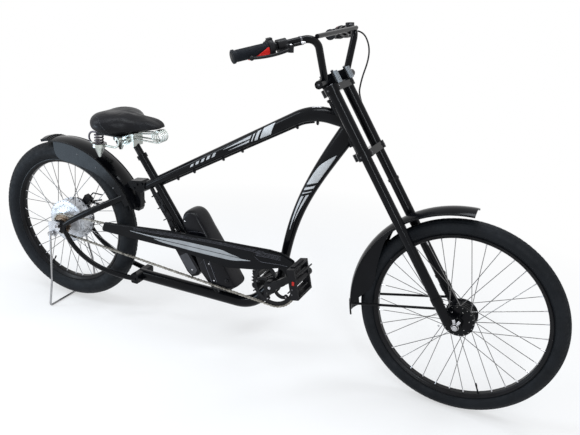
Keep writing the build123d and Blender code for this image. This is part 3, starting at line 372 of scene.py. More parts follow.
def spread(finish, value, low, high, fromLow=0.3, fromHigh=0.7):
    limits = addNode(finish, "ShaderNodeMapRange")
    for key, number in (("From Min", fromLow), ("From Max", fromHigh), ("To Min", low), ("To Max", high)):
        limits.inputs[key].default_value = number
    wire(finish, value, limits.inputs["Value"])
    return limits.outputs["Result"]


def mixTones(finish, amount, first, second):
    mix = addNode(finish, "ShaderNodeMix", data_type="RGBA")
    for socket, value in (("A", first), ("B", second)):
        target = next(s for s in mix.inputs if s.name == socket and s.type == "RGBA")
        if isinstance(value, tuple):
            target.default_value = (*value, 1)
        else:
            wire(finish, value, target)
    factor = next(s for s in mix.inputs if s.name == "Factor" and s.type == "VALUE")
    wire(finish, amount, factor)
    return next(s for s in mix.outputs if s.type == "RGBA")


def calc(finish, kind, first, second=None, third=None):
    sums = addNode(finish, "ShaderNodeMath")
    sums.operation = kind
    for i, value in enumerate((first, second, third)):
        if value is None:
            continue
        if isinstance(value, (int, float)):
            sums.inputs[i].default_value = value
        else:
            wire(finish, value, sums.inputs[i])
    return sums.outputs["Value"]


def bumpFrom(finish, height, strength, depth):
    bump = addNode(finish, "ShaderNodeBump", Strength=strength, Distance=depth)
    wire(finish, height, bump.inputs["Height"])
    wire(finish, bump.outputs["Normal"], shaderOf(finish).inputs["Normal"])


def colourFrom(finish, colour):
    wire(finish, colour, shaderOf(finish).inputs["Base Color"])


def roughFrom(finish, value):
    wire(finish, value, shaderOf(finish).inputs["Roughness"])


def paintedReflectionRims(finish, colour, dark, fromShare=0.35, toShare=0.85):
    # painted reflection: polished steel in a white room drawn bright in the middle of each wire and dark
    # towards its rims, by how squarely it faces the camera
    facing = addNode(finish, "ShaderNodeLayerWeight", Blend=0.5)
    return mixTones(finish, spread(finish, facing.outputs["Facing"], 0, 1, fromShare, toShare), colour,
                    dark)


def mottled(name, tones, cloud, roughs, bump=None, shine=0.16, metallic=0.0, roughCloud=None, paintedReflection=None):
    # two tones in a cloud of (scale, detail), which also sets the roughness unless roughCloud does
    middle = tuple((a + b) / 2 for a, b in zip(*tones))
    finish = startFinish(name, middle, roughs[0], metallic, Specular_IOR_Level=shine)
    haze = grain(finish, *cloud)
    tone = mixTones(finish, spread(finish, haze, 0, 1), *tones)
    # painted reflection: with the last argument given, the tone goes dark where the surface turns away from
    # the camera
    if paintedReflection:
        tone = paintedReflectionRims(finish, tone, *paintedReflection)
    colourFrom(finish, tone)
    roughFrom(finish, spread(finish, grain(finish, *roughCloud) if roughCloud else haze, *roughs))
    if bump:
        scale, detail, strength, depth = bump
        bumpFrom(finish, grain(finish, scale, detail), strength, depth)
    return finish


def glossBlack(name):
    return mottled(name, ((0.002, 0.0022, 0.003), (0.0042, 0.00452, 0.0058)), (9, 4), (0.1, 0.2),
                   (160, 2, 0.03, 0.03 * mm), 0.11, roughCloud=(35, 5))


def tyreRubber():
    return mottled("tyreRubber", ((0.003, 0.004, 0.0055), (0.0065, 0.0082, 0.01075)), (14, 5), (0.52, 0.72),
                   (1400, 3, 0.25, 0.12 * mm), roughCloud=(60, 3))


def spokeSteel():
    # painted reflection: the spokes are drawn bright in the middle and dark towards their rims
    return mottled("spokeSteel", ((0.15, 0.15, 0.155), (0.27, 0.265, 0.26)), (160, 3, (1, 4, 1)),
                   (0.2, 0.4), shine=0.5, metallic=1.0, paintedReflection=((0.02, 0.02, 0.022), 0.15, 0.6))


def rimBlack():
    return mottled("rimBlack", ((0.002, 0.002, 0.0025), (0.006, 0.006, 0.0075)), (26, 5), (0.24, 0.42),
                   (700, 2, 0.15, 0.06 * mm), 0.14)


def chromePlate():
    # painted reflection: the plate is drawn bright in the middle and dark towards its rims
    return mottled("chromePlate", ((0.28, 0.28, 0.29), (0.46, 0.46, 0.47)), (40, 5), (0.05, 0.2),
                   (300, 3, 0.08, 0.1 * mm), 0.5, 1.0, paintedReflection=((0.06, 0.06, 0.065), 0.3, 0.75))


def blackAlloy():
    return mottled("blackAlloy", ((0.0025, 0.0025, 0.003), (0.008, 0.008, 0.0095)), (32, 5), (0.28, 0.46),
                   (820, 3, 0.2, 0.08 * mm))


def brownSteel():
    return mottled("brownSteel", ((0.13, 0.085, 0.055), (0.3, 0.23, 0.17)), (70, 5), (0.3, 0.52),
                   (600, 3, 0.2, 0.1 * mm), 0.5, 0.85)


def chainSteel():
    return mottled("chainSteel", ((0.11, 0.1, 0.085), (0.42, 0.4, 0.36)), (90, 5), (0.24, 0.5),
                   (900, 3, 0.2, 0.08 * mm), 0.5, 0.9)


def gripRubber():
    return mottled("gripRubber", ((0.003, 0.004, 0.0065), (0.007, 0.009, 0.013)), (40, 4), (0.55, 0.75),
                   (1500, 3, 0.3, 0.12 * mm))


def mouldedPlastic(name, tone, rough=0.42):
    lighter = tuple(c * 1.35 + 0.001 for c in tone)
    finish = mottled(name, (tone, lighter), (22, 4), (rough - 0.07, rough + 0.1))
    pebble = addNode(finish, "ShaderNodeTexVoronoi", Scale=1100)
    wire(finish, objectPlace(finish), pebble.inputs["Vector"])
    bumpFrom(finish, pebble.outputs["Distance"], 0.22, 0.12 * mm)
    return finish


def brushedSteel(name, tone, rough=0.3):
    darker = tuple(c * 0.72 for c in tone)
    finish = mottled(name, (darker, tone), (24, 4), (rough, rough), shine=0.5, metallic=1.0)
    brushed = grain(finish, 240, 4, (1, 9, 1))
    roughFrom(finish, calc(finish, "ADD", spread(finish, brushed, 0, 0.14), rough - 0.06))
    bumpFrom(finish, brushed, 0.15, 0.08 * mm)
    return finish


def motorSilver():
    # cast shell with fine turning rings round the axle
    finish = mottled("motorSilver", ((0.4, 0.41, 0.43), (0.6, 0.61, 0.64)), (46, 5), (0.26, 0.44),
                     shine=0.5, metallic=0.55)
    turned = addNode(finish, "ShaderNodeVectorMath", operation="DISTANCE")
    wire(finish, objectPlace(finish, (1, 0, 1)), turned.inputs[0])
    turned.inputs[1].default_value = (rearAxle.x, 0, rearAxle.z)
    rings = calc(finish, "SINE", calc(finish, "MULTIPLY", turned.outputs["Value"], 4200))
    bumpFrom(finish, calc(finish, "MULTIPLY_ADD", rings, 0.3, grain(finish, 500, 3)), 0.22, 0.1 * mm)
    return finish


zincDetail = {"coilsBehind": -0.505, "coilsAbove": 0.702}   # along and up the bicycle, in metres


def zincPlate():
    # bright zinc with a faint green cast; the coils behind and above the clamp are drawn darker
    finish = startFinish("zincPlate", (0.66, 0.7, 0.66), 0.25, 0.9)
    haze = grain(finish, 55, 5)
    plate = mixTones(finish, spread(finish, haze, 0, 1), (0.4, 0.44, 0.4), (0.64, 0.67, 0.64))
    place = addNode(finish, "ShaderNodeSeparateXYZ")
    wire(finish, objectPlace(finish), place.inputs["Vector"])
    behind = calc(finish, "LESS_THAN", place.outputs["X"], zincDetail["coilsBehind"])
    above = calc(finish, "GREATER_THAN", place.outputs["Z"], zincDetail["coilsAbove"])
    wires = mixTones(finish, calc(finish, "MULTIPLY", behind, above), plate, (0.085, 0.078, 0.09))
    # painted reflection: the zinc and the coils go dark towards their rims
    colourFrom(finish, paintedReflectionRims(finish, wires, (0.03, 0.026, 0.032), 0.25, 0.7))
    roughFrom(finish, spread(finish, haze, 0.16, 0.38))
    bumpFrom(finish, grain(finish, 420, 4), 0.2, 0.2 * mm)
    return finish


def saddleVinyl():
    # hide pattern: cells whose edges wander with a fine noise
    finish = mottled("saddleVinyl", ((0.002, 0.0021, 0.003), (0.005, 0.0052, 0.007)), (16, 4), (0.33, 0.5),
                     roughCloud=(30, 4))
    drift = addNode(finish, "ShaderNodeTexNoise", Scale=180, Detail=2)
    wire(finish, objectPlace(finish), drift.inputs["Vector"])
    small = addNode(finish, "ShaderNodeVectorMath", operation="SCALE")
    wire(finish, drift.outputs["Color"], small.inputs[0])
    small.inputs["Scale"].default_value = 0.002
    warped = addNode(finish, "ShaderNodeVectorMath", operation="ADD")
    wire(finish, objectPlace(finish), warped.inputs[0])
    wire(finish, small.outputs["Vector"], warped.inputs[1])
    hide = addNode(finish, "ShaderNodeTexVoronoi", Scale=520)
    wire(finish, warped.outputs["Vector"], hide.inputs["Vector"])
    bumpFrom(finish, hide.outputs["Distance"], 0.3, 0.22 * mm)
    return finish


def tapeWrap():
    finish = startFinish("tapeWrap", (0.003, 0.003, 0.004), 0.42, Specular_IOR_Level=0.18)
    wraps = addNode(finish, "ShaderNodeTexWave", Scale=55, Distortion=2.2, Detail=2)
    wraps.bands_direction = "Z"
    wire(finish, objectPlace(finish), wraps.inputs["Vector"])
    colourFrom(finish, mixTones(finish, wraps.outputs["Fac"], (0.004, 0.004, 0.005), (0.014, 0.014, 0.016)))
    roughFrom(finish, spread(finish, wraps.outputs["Fac"], 0.38, 0.58))
    bumpFrom(finish, wraps.outputs["Fac"], 0.5, 0.8 * mm)
    return finish


finishes = {
    "blackPaint": glossBlack("glossBlackPaint"),
    "tyre": tyreRubber(),
    "spoke": spokeSteel(),
    "rim": rimBlack(),
    "motor": motorSilver(),
    "steel": brushedSteel("brightSteel", (0.6, 0.6, 0.62)),
    "darkSteel": brushedSteel("darkSteel", (0.13, 0.13, 0.14), 0.36),
    "rotor": brushedSteel("rotorSteel", (0.42, 0.42, 0.44), 0.28),
    "chrome": chromePlate(),
    "zinc": zincPlate(),
    "alloy": blackAlloy(),
    "drumPaint": glossBlack("drumPaint"),
    "brown": brownSteel(),
    "chain": chainSteel(),
    "plastic": mouldedPlastic("blackPlastic", (0.0035, 0.0035, 0.0045)),
    "casePlastic": mouldedPlastic("casePlastic", (0.0025, 0.0026, 0.004), 0.28),
    "paleInset": mouldedPlastic("paleInset", (0.05, 0.05, 0.055), 0.45),
    "redPlastic": mouldedPlastic("redPlastic", (0.55, 0.016, 0.012), 0.32),
    "redLens": mouldedPlastic("redLens", (0.42, 0.02, 0.015), 0.15),
    "pinkPlug": mouldedPlastic("pinkPlug", (0.42, 0.12, 0.11), 0.45),
    "sheath": mouldedPlastic("cableSheath", (0.0025, 0.0025, 0.003), 0.32),
    "flash": mouldedPlastic("paleFlash", (0.4, 0.41, 0.42), 0.4),
    "guardFlash": mouldedPlastic("guardFlash", (0.26, 0.27, 0.28), 0.4),
    "paleBlock": mouldedPlastic("paleBlock", (0.2, 0.22, 0.24), 0.34),
    "greyLine": mouldedPlastic("greyLine", (0.1, 0.1, 0.115), 0.35),
    "grip": gripRubber(),
    "vinyl": saddleVinyl(),
    "piping": mouldedPlastic("pipingVinyl", (0.014, 0.015, 0.018), 0.34),
    "tape": tapeWrap(),
}
print("finishes made:", len(finishes))

# finishes for the nodes that stay as they are
nodeFinishes = {
    "blackPaint": ("head_tube", "seat_tube", "lower_tube", "bottom_bracket", "rear_bracket", "upper_stays",
                   "lower_stays", "dropouts", "lower_yoke", "rear_fender", "front_fender", "chain_guard",
                   "fork_legs", "fork_crowns", "handlebar", "bar_clamps", "fender_stays", "top_tube",
                   "down_tube"),
    "alloy": ("seat_post", "brake_caliper", "brake_levers", "drum_hub", "crankset", "chainring"),
    "chrome": ("stand",),
    "zinc": ("saddle_frame",),
    "plastic": ("saddle_pan", "bell", "throttle", "brake_cable", "pedal_right", "pedal_left"),
    "casePlastic": ("battery_case", "controller"),
    "steel": ("rear_axle", "front_axle", "stand_bracket"),
    "motor": ("hub_motor",),
    "rotor": ("brake_rotor",),
    "brown": ("freewheel",),
    "chain": ("chain",),
    "tape": ("wiring",),
    "tyre": ("front_tyre", "rear_tyre"),
    "rim": ("front_rim", "rear_rim"),
    "spoke": ("front_spokes", "rear_spokes"),
    "grip": ("grips",),
    "vinyl": ("saddle_pad",),
}


def dressNodes():
    for finish, names in nodeFinishes.items():
        for name in names:
            for slotOnNode in frame["nodes"][name].material_slots:
                slotOnNode.material = finishes[finish]


dressNodes()
print("nodes dressed")


# wheels
frontWheel = {
    "body": "front_wheel",
    "names": ("front_tyre", "front_rim", "front_spokes"),
    "centre": frontAxle,
    "flangeRadius": 47.8 * mm,
    "flangeHalf": 26.1 * mm,
    "lean": 34,                   # degrees a spoke leans round the hub
    "middle": 0.0,
    "rimWall": 0.41,              # depth of the rim's section, as a share of its width
    "treadPitch": 120,            # tread blocks round the tyre
    "valveAngle": -70,
}
rearWheel = {
    "body": "rear_wheel",
    "names": ("rear_tyre", "rear_rim", "rear_spokes"),
    "centre": rearAxle,
    "flangeRadius": 81 * mm,
    "flangeHalf": 20 * mm,
    "lean": 22,
    "middle": 1.5 * mm,
    "rimWall": 0.41 * 0.93,
    "treadPitch": 104,
    "valveAngle": -118,
}
tyreDetail = {
    "grooveDepth": 1.3 * mm,
    "stepsPerBlock": 4,
    "treadReach": 62,             # degrees of the section on either side of the crown
    "sideRidges": ((8, 0.5 * mm), (-22, 0.7 * mm), (-33, 0.4 * mm)),
    "spokes": 36,
    "spokeRadius": 1.2 * mm,
    "nippleRadius": 2.2 * mm,
    "nippleLength": 13 * mm,
}


def treadDepth(turn, angle):
    reach = abs(angle) / tyreDetail["treadReach"]
    if reach > 1:
        return 0.0
    if 0.2 < reach < 0.27 or 0.6 < reach < 0.66:
        return tyreDetail["grooveDepth"]
    shift = int(reach * 6) + (2 if angle > 0 else 0)
    if reach > 0.27 and (turn + shift) % tyreDetail["stepsPerBlock"] == 0:
        return tyreDetail["grooveDepth"]
    return 0.0


def makeTyre(wheel):
    name = wheel["names"][0]
    size, beadRadius = boxSize(name), boxSize(wheel["names"][1]).x / 2
    outer, half = size.x / 2, size.y / 2
    bead = math.degrees(math.asin((beadRadius - outer + half) / half))
    angles = [bead + (90 - bead) * i / 22 for i in range(23)]
    angles += [180 - a for a in reversed(angles[:-1])]
    around = wheel["treadPitch"] * tyreDetail["stepsPerBlock"]
    points = []
    for turn in range(around):
        spin = 2 * math.pi * turn / around
        outward = Vector((math.cos(spin), 0, math.sin(spin)))
        for angle in angles:
            lean = angle if angle <= 90 else 180 - angle
            radius = half - treadDepth(turn, 90 - lean if angle <= 90 else lean - 90) - 0.4 * mm
            for ridge, height in tyreDetail["sideRidges"]:
                radius += height * math.exp(-((lean - ridge) / 2.6) ** 2) - height
            y = radius * math.cos(math.radians(angle))
            points.append(wheel["centre"] + across * y
                          + outward * (outer - half + radius * math.sin(math.radians(angle))))
        for share in (0.9, 0.5, -0.5, -0.9):
            y = -half * math.cos(math.radians(bead)) * share
            points.append(wheel["centre"] + across * y + outward * (beadRadius + 0.2 * mm))
    shape = Shape()
    shape.add(points, bridgeRings(around, len(angles) + 4, True))
    return addPiece(wheel["body"] + "_tyre_rubber", shape, "tyre", wheel["body"], 40, (name,))


def makeRim(wheel):
    name = wheel["names"][1]
    size = boxSize(name)
    outer, half = size.x / 2, size.y / 2
    wall = size.y * wheel["rimWall"]
    inner = outer - wall
    shelf = outer - wall * 0.45
    lip = 1.2 * mm
    side = [(-half + lip, outer), (-half, outer - lip), (-half, shelf + 2 * lip),
            (-half + lip, shelf + lip), (-half * 0.9, shelf), (-half * 0.62, inner + lip),
            (-half * 0.5, inner)]
    profile = side + [(-y, r) for y, r in reversed(side)]
    shape = Shape()
    lathe(shape, wheel["centre"], across, profile, 144, True)
    valve = wheelPoint(wheel["centre"], inner, wheel["valveAngle"])
    inward = (wheel["centre"] - valve).normalized()
    lathe(shape, valve - inward * mm, inward, inMm((0, 4), (2, 4), (3, 2.7), (22, 2.6), (23, 3.2),
                                                   (33, 3.2), (34, 2.4)), 16)
    return addPiece(wheel["body"] + "_rim_section", shape, "rim", wheel["body"], 30, (name,))


def makeSpokes(wheel):
    rim = boxSize(wheel["names"][1])
    inner = rim.x / 2 - rim.y * wheel["rimWall"]
    centre = wheel["centre"] + across * wheel["middle"]
    shape, nipples = Shape(), Shape()
    for i in range(tyreDetail["spokes"]):
        side = 1 if i % 2 else -1
        lean = wheel["lean"] if (i // 2) % 2 else -wheel["lean"]
        angle = 360 * i / tyreDetail["spokes"]
        hub = wheelPoint(centre, wheel["flangeRadius"], angle + lean, side * wheel["flangeHalf"])
        end = wheelPoint(centre, inner + 0.5 * mm, angle, side * 3 * mm)
        run = (end - hub).normalized()
        elbow = hub - across * side * 3 * mm
        tubeAlong(shape, [elbow, hub, hub + run * 4 * mm, end], tyreDetail["spokeRadius"], 8)
        thick, long = tyreDetail["nippleRadius"], tyreDetail["nippleLength"]
        lathe(nipples, end, -run, [(0, thick * 1.3), (1.5 * mm, thick * 1.3), (2.5 * mm, thick),
                                   (long, thick * 0.85), (long + mm, thick * 0.6)], 8)
    addPiece(wheel["body"] + "_spoke_nipples", nipples, "steel", wheel["body"])
    return addPiece(wheel["body"] + "_laced_spokes", shape, "spoke", wheel["body"], 35,
                    (wheel["names"][2],))


for wheel in (frontWheel, rearWheel):
    makeTyre(wheel)
    makeRim(wheel)
    makeSpokes(wheel)
print("wheels made")

# sizes of the drive, shared by both toothed rings and the chain
driveSizes = {
    "pitch": 12.7 * mm,
    "ringTeeth": 42,
    "cogTeeth": 20,
    "y": -50 * mm,
    "toothThick": 2.2 * mm,
    "plateThick": 1 * mm,
    "rollerRadius": 3.9 * mm,
    "outerHalf": 3.3 * mm,
    "innerHalf": 2.2 * mm,
}


def pitchRadius(teeth):
    return driveSizes["pitch"] / (2 * math.sin(math.pi / teeth))


# hub motor, freewheel and front drum
motorDetail = {
    "nearFace": -22 * mm,         # the two covers, across the bicycle
    "farFace": 28 * mm,
    "coverBolts": 8,
    "boltCircle": 72 * mm,
    "boltRadius": 3,
    "ribs": 24,
    "flangeHoles": 36,
    "holeCircle": 0.958,          # share of the shell's radius
    "leadRadius": 3.2 * mm,
}


def makeMotor():
    radius = boxSize("hub_motor").x / 2
    low, high = [corner.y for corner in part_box("hub_motor")]
    near, far = motorDetail["nearFace"], motorDetail["farFace"]
    shape = Shape()
    face = [(low, 6.3 * mm), (low, radius * 0.22), (low + 2 * mm, radius * 0.25),
            (near - 5 * mm, radius * 0.32), (near - 4.2 * mm, radius * 0.45),
            (near - 3.6 * mm, radius * 0.47), (near - 3.6 * mm, radius * 0.58),
            (near - 2.4 * mm, radius * 0.62), (near - 2 * mm, radius * 0.73),
            (near - 0.3 * mm, radius * 0.75), (near - 0.3 * mm, radius * 0.9),
            (near + 0.4 * mm, radius * 0.93), (near + 0.4 * mm, radius * 0.985), (near + 1.2 * mm, radius),
            (near + 4 * mm, radius), (near + 6 * mm, radius * 0.94), (near + 8 * mm, radius * 0.93)]
    back = [(far - 8 * mm, radius * 0.93), (far - 6 * mm, radius * 0.94), (far - 4 * mm, radius),
            (far - 1 * mm, radius), (far, radius * 0.98), (far, radius * 0.74),
            (far + 3 * mm, radius * 0.5), (far + 4 * mm, radius * 0.45), (far + 8 * mm, radius * 0.3),
            (high, radius * 0.3), (high, 6.3 * mm)]
    lathe(shape, Vector((rearAxle.x, 0, rearAxle.z)), across, face + back, 120, True)
    for i in range(motorDetail["ribs"]):
        angle = 360 * (i + 0.5) / motorDetail["ribs"]
        inner = wheelPoint(rearAxle, radius * 0.6, angle, near - 2.1 * mm)
        outer = wheelPoint(rearAxle, radius * 0.72, angle, near - 1.6 * mm)
        run = outer - inner
        slab(shape, (inner + outer) / 2, run, run.cross(across), across, (run.length / mm, 2.2, 2.4))
    addPiece("motor_shell", shape, "motor", "rear_wheel", 25, ("hub_motor",))
    bolts, holes = Shape(), Shape()
    for i in range(motorDetail["coverBolts"]):
        for y, way, shift in ((near - 0.2 * mm, -1, 12), (far, 1, 30)):
            turn = 360 * i / motorDetail["coverBolts"] + shift
            at = wheelPoint(rearAxle, motorDetail["boltCircle"], turn, y)
            domeBolt(bolts, at, across * way, motorDetail["boltRadius"], 2.4)
    for i in range(motorDetail["flangeHoles"]):
        for y, way in ((near + 0.5 * mm, -1), (far, 1)):
            turn = 360 * i / motorDetail["flangeHoles"]
            at = wheelPoint(rearAxle, radius * motorDetail["holeCircle"], turn, y)
            lathe(holes, at, across * way, inMm((-0.6, 2), (0.35, 2), (0.6, 1.2)), 8)
    addPiece("motor_cover_bolts", bolts, "steel", "rear_wheel")
    addPiece("motor_spoke_heads", holes, "darkSteel", "rear_wheel")
    cable = Shape()
    start = Vector((rearAxle.x, high + 16 * mm, rearAxle.z))
    route = [start, start + Vector((-4, 6, 10)) * mm, start + Vector((6, -6, 44)) * mm,
             start + Vector((44, -8, 66)) * mm, start + Vector((120, -14, 92)) * mm]
    tubeAlong(cable, catmull(route, 10), motorDetail["leadRadius"], 10)
    addPiece("motor_lead", cable, "sheath", "frame")


def toothedDisc(shape, centre, y, teeth, rootRadius, tipRadius, boreRadius):
    # ring of teeth, as thick as the chain's gap allows
    thick = driveSizes["toothThick"]
    outline = []
    for i in range(teeth):
        for share, radius in ((0.0, rootRadius), (0.22, rootRadius), (0.36, tipRadius * 0.985),
                              (0.46, tipRadius), (0.54, tipRadius), (0.64, tipRadius * 0.985),
                              (0.78, rootRadius)):
            outline.append((360 * (i + share) / teeth, radius))
    count = len(outline)
    points = []
    for radiusOf, offset in ((0, -thick / 2), (0, thick / 2), (1, thick / 2), (1, -thick / 2)):
        for angle, radius in outline:
            points.append(wheelPoint(centre, boreRadius if radiusOf else radius, angle, y + offset))
    shape.add(points, bridgeRings(4, count, True))


def makeFreewheel():
    low, high = [corner.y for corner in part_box("freewheel")]
    teeth, y = driveSizes["cogTeeth"], driveSizes["y"]
    pitchCircle = pitchRadius(teeth)
    shape = Shape()
    toothedDisc(shape, rearAxle, y, teeth, pitchCircle - driveSizes["rollerRadius"], pitchCircle + 2.2 * mm,
                pitchCircle * 0.5)
    radius = pitchCircle * 0.68
    profile = [(low, 6.8 * mm), (low, radius * 0.8), (low + 1.2 * mm, radius * 0.88),
               (y + 1.6 * mm, radius * 0.9), (y + 1.6 * mm, pitchCircle * 0.86),
               (y + 5.6 * mm, pitchCircle * 0.86), (y + 6.2 * mm, radius), (high - mm, radius),
               (high, radius * 0.94), (high, 6.8 * mm)]
    lathe(shape, rearAxle, across, profile, 60, True)
    for i in range(4):
        at = wheelPoint(rearAxle, radius * 0.55, 90 * i + 20, low)
        slab(shape, at, at - rearAxle - across * low, upward, across, (5, 4, 1.4))
    addPiece("freewheel_cog", shape, "brown", "freewheel", 30, ("freewheel",))


drumDetail = {
    "capBolts": 6,
    "capCircle": 0.66,            # share of the drum's radius
    "ribs": 3,
    "ribStep": 12 * mm,
    "headsOut": 29.9 * mm,        # spoke heads, from the middle of the hub
}


def makeDrum():
    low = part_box("drum_hub")[0].y
    radius = boxSize("drum_hub").x / 2
    side = [(low, 6.2 * mm), (low, radius * 0.27), (low + 2 * mm, radius * 0.3),
            (low + 9 * mm, radius * 0.36), (low + 11 * mm, radius * 0.5), (low + 11.4 * mm, radius * 0.82),
            (low + 12.2 * mm, radius * 0.86), (low + 12 * mm, radius * 0.98), (low + 13 * mm, radius),
            (low + 15 * mm, radius), (low + 16 * mm, radius * 0.96), (low + 18 * mm, radius * 0.89)]
    middle = []
    for i in range(drumDetail["ribs"]):
        y = drumDetail["ribStep"] * (i - 1)
        middle += [(y - 2 * mm, radius * 0.86), (y - 1.4 * mm, radius * 0.89),
                   (y + 1.4 * mm, radius * 0.89), (y + 2 * mm, radius * 0.86)]
    profile = side + middle + [(-y, r) for y, r in reversed(side)]
    shape = Shape()
    lathe(shape, frontAxle, across, profile, 96, True)
    addPiece("front_drum_shell", shape, "drumPaint", "front_wheel", 28, ("drum_hub",))
    trim = Shape()
    for i in range(drumDetail["capBolts"]):
        at = wheelPoint(frontAxle, radius * drumDetail["capCircle"], 60 * i + 10, low + 11.2 * mm)
        domeBolt(trim, at, -across, 2.6, 2)
    for i in range(tyreDetail["spokes"] // 2):
        for side in (-1, 1):
            at = wheelPoint(frontAxle, frontWheel["flangeRadius"], 20 * i + (10 if side > 0 else 0),
                            side * drumDetail["headsOut"])
            lathe(trim, at, across * side, inMm((-0.4, 1.9), (0.5, 1.9), (0.8, 1.1)), 8)
    addPiece("front_drum_heads", trim, "spoke", "front_wheel")


makeMotor()
makeFreewheel()
makeDrum()
print("hubs made")

# chain and chainring
def chainPath():
    big, small = pitchRadius(driveSizes["ringTeeth"]), pitchRadius(driveSizes["cogTeeth"])
    run = crankAxis - rearAxle
    tilt = math.atan2(run.z, run.x)
    span = math.hypot(run.x, run.z)
    lean = math.asin((big - small) / span)
    straight = span * math.cos(lean)
    top, low = tilt + math.pi / 2 + lean, tilt - math.pi / 2 - lean
    bigArc, smallArc = math.pi + 2 * lean, math.pi - 2 * lean
    total = 2 * straight + big * bigArc + small * smallArc

    def spot(centre, radius, angle):
        return Vector((centre.x + radius * math.cos(angle), driveSizes["y"],
                       centre.z + radius * math.sin(angle)))

    def at(distance):
        distance %= total
        if distance < straight:
            a, b = spot(rearAxle, small, top), spot(crankAxis, big, top)
            return a.lerp(b, distance / straight)
        distance -= straight
        if distance < big * bigArc:
            return spot(crankAxis, big, top - distance / big)
        distance -= big * bigArc
        if distance < straight:
            a, b = spot(crankAxis, big, low), spot(rearAxle, small, low)
            return a.lerp(b, distance / straight)
        return spot(rearAxle, small, low - (distance - straight) / small)

    return total, at


def linkPlate(shape, a, b, y, thick, radius):
    run = (b - a).normalized()
    up = across.cross(run)
    outline = []
    for end, start in ((b, -90), (a, 90)):
        for k in range(5):
            turn = math.radians(start + 45 * k)
            outline.append(end + (run * math.cos(turn) + up * math.sin(turn)) * radius)
        waist = (a + b) / 2 + up * radius * (0.62 if start < 0 else -0.62)
        outline.append(waist)
    outline = [Vector((p.x, y - thick / 2, p.z)) for p in outline]
    prism(shape, outline, across * thick)


def makeChain():
    total, at = chainPath()
    links = round(total / driveSizes["pitch"] / 2) * 2
    step = total / links
    shape = Shape()
    for i in range(links):
        a, b = at(i * step), at((i + 1) * step)
        half = driveSizes["outerHalf"] if i % 2 else driveSizes["innerHalf"]
        for side in (-1, 1):
            linkPlate(shape, a, b, driveSizes["y"] + side * half, driveSizes["plateThick"], 3.7 * mm)
        reach = driveSizes["outerHalf"] + 0.9 * mm
        lathe(shape, a, across, [(-reach, 1.5 * mm), (-1.6 * mm, 1.5 * mm),
                                 (-1.5 * mm, driveSizes["rollerRadius"]),
                                 (1.5 * mm, driveSizes["rollerRadius"]), (1.6 * mm, 1.5 * mm),
                                 (reach, 1.5 * mm)], 8)
    addPiece("roller_chain", shape, "chain", "frame", 35, ("chain",))


ringDetail = {
    "arms": 5,
    "armCircle": 0.72,            # share of the pitch radius
    "firstArm": 35,               # degrees
    "rimHalf": 1.9 * mm,
    "nutsAt": (-86 * mm, 89 * mm),   # ends of the crank axle
}


def makeChainring():
    teeth = driveSizes["ringTeeth"]
    radius = pitchRadius(teeth)
    y = driveSizes["y"]
    shape = Shape()
    toothedDisc(shape, crankAxis, y, teeth, radius - driveSizes["rollerRadius"], radius + 2.6 * mm,
                radius * 0.8)
    half = ringDetail["rimHalf"]
    rim = [(y - half, radius * 0.79), (y - half, radius * 0.87), (y - 1.1 * mm, radius * 0.89),
           (y + 1.1 * mm, radius * 0.89), (y + half, radius * 0.87), (y + half, radius * 0.79)]
    lathe(shape, crankAxis, across, rim, 90, True)
    bolts = Shape()
    for i in range(ringDetail["arms"]):
        turn = 360 * i / ringDetail["arms"] + ringDetail["firstArm"]
        at = wheelPoint(crankAxis, radius * ringDetail["armCircle"], turn, y)
        lathe(shape, at, across, [(-half, 8 * mm), (half, 8 * mm)], 20)
        domeBolt(bolts, at - across * 6.6 * mm, -across, 4, 1.6)
        domeBolt(bolts, at + across * 1.8 * mm, across, 4, 1.4)
    addPiece("toothed_chainring", shape, "alloy", "crankset", 30, ("chainring",))
    for y in ringDetail["nutsAt"]:
        hexBolt(bolts, crankAxis + across * y, across * math.copysign(1, y), 9, 4)
    addPiece("crank_bolts", bolts, "steel", "crankset")


makeChain()
makeChainring()
print("drive made")

# saddle
saddleDetail = {
    "fill": 0.9,                  # firmness of the padding
    "voxel": 5 * mm,
    "shrink": 0.004,
    "pressure": 2.5,
    "steps": 14,
    "reach": 6 * mm,              # how far the cover may swell
    "pipingRadius": 1.5 * mm,
}


def makeSaddle():
    source = bpy.data.objects["saddle_pad"]
    mesh = source.data.copy()
    mesh.name = "saddle_cushion"
    cushion = addRider("saddle_cushion", mesh, "frame", ("saddle_pad",))
    bpy.context.view_layer.objects.active = cushion
    remesh = cushion.modifiers.new("remesh", "REMESH")
    remesh.mode = "VOXEL"
    remesh.voxel_size = saddleDetail["voxel"]
    smooth = cushion.modifiers.new("relax", "SMOOTH")
    smooth.iterations = 2
    smooth.factor = 0.5
    bakeModifiers(cushion)
    inflate(cushion)
    shapeSaddle(cushion, *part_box("saddle_pad"))
    subdivision = cushion.modifiers.new("smoothCover", "SUBSURF")
    subdivision.levels = 1
    subdivision.render_levels = 1
    bakeModifiers(cushion)
    cushion.data.materials.clear()
    cushion.data.materials.append(finishes["vinyl"])
    cushion.data.shade_smooth()
    return cushion


def bakeModifiers(piece):
    depsgraph = bpy.context.evaluated_depsgraph_get()
    made = bpy.data.meshes.new_from_object(piece.evaluated_get(depsgraph))
    piece.modifiers.clear()
    piece.data = made


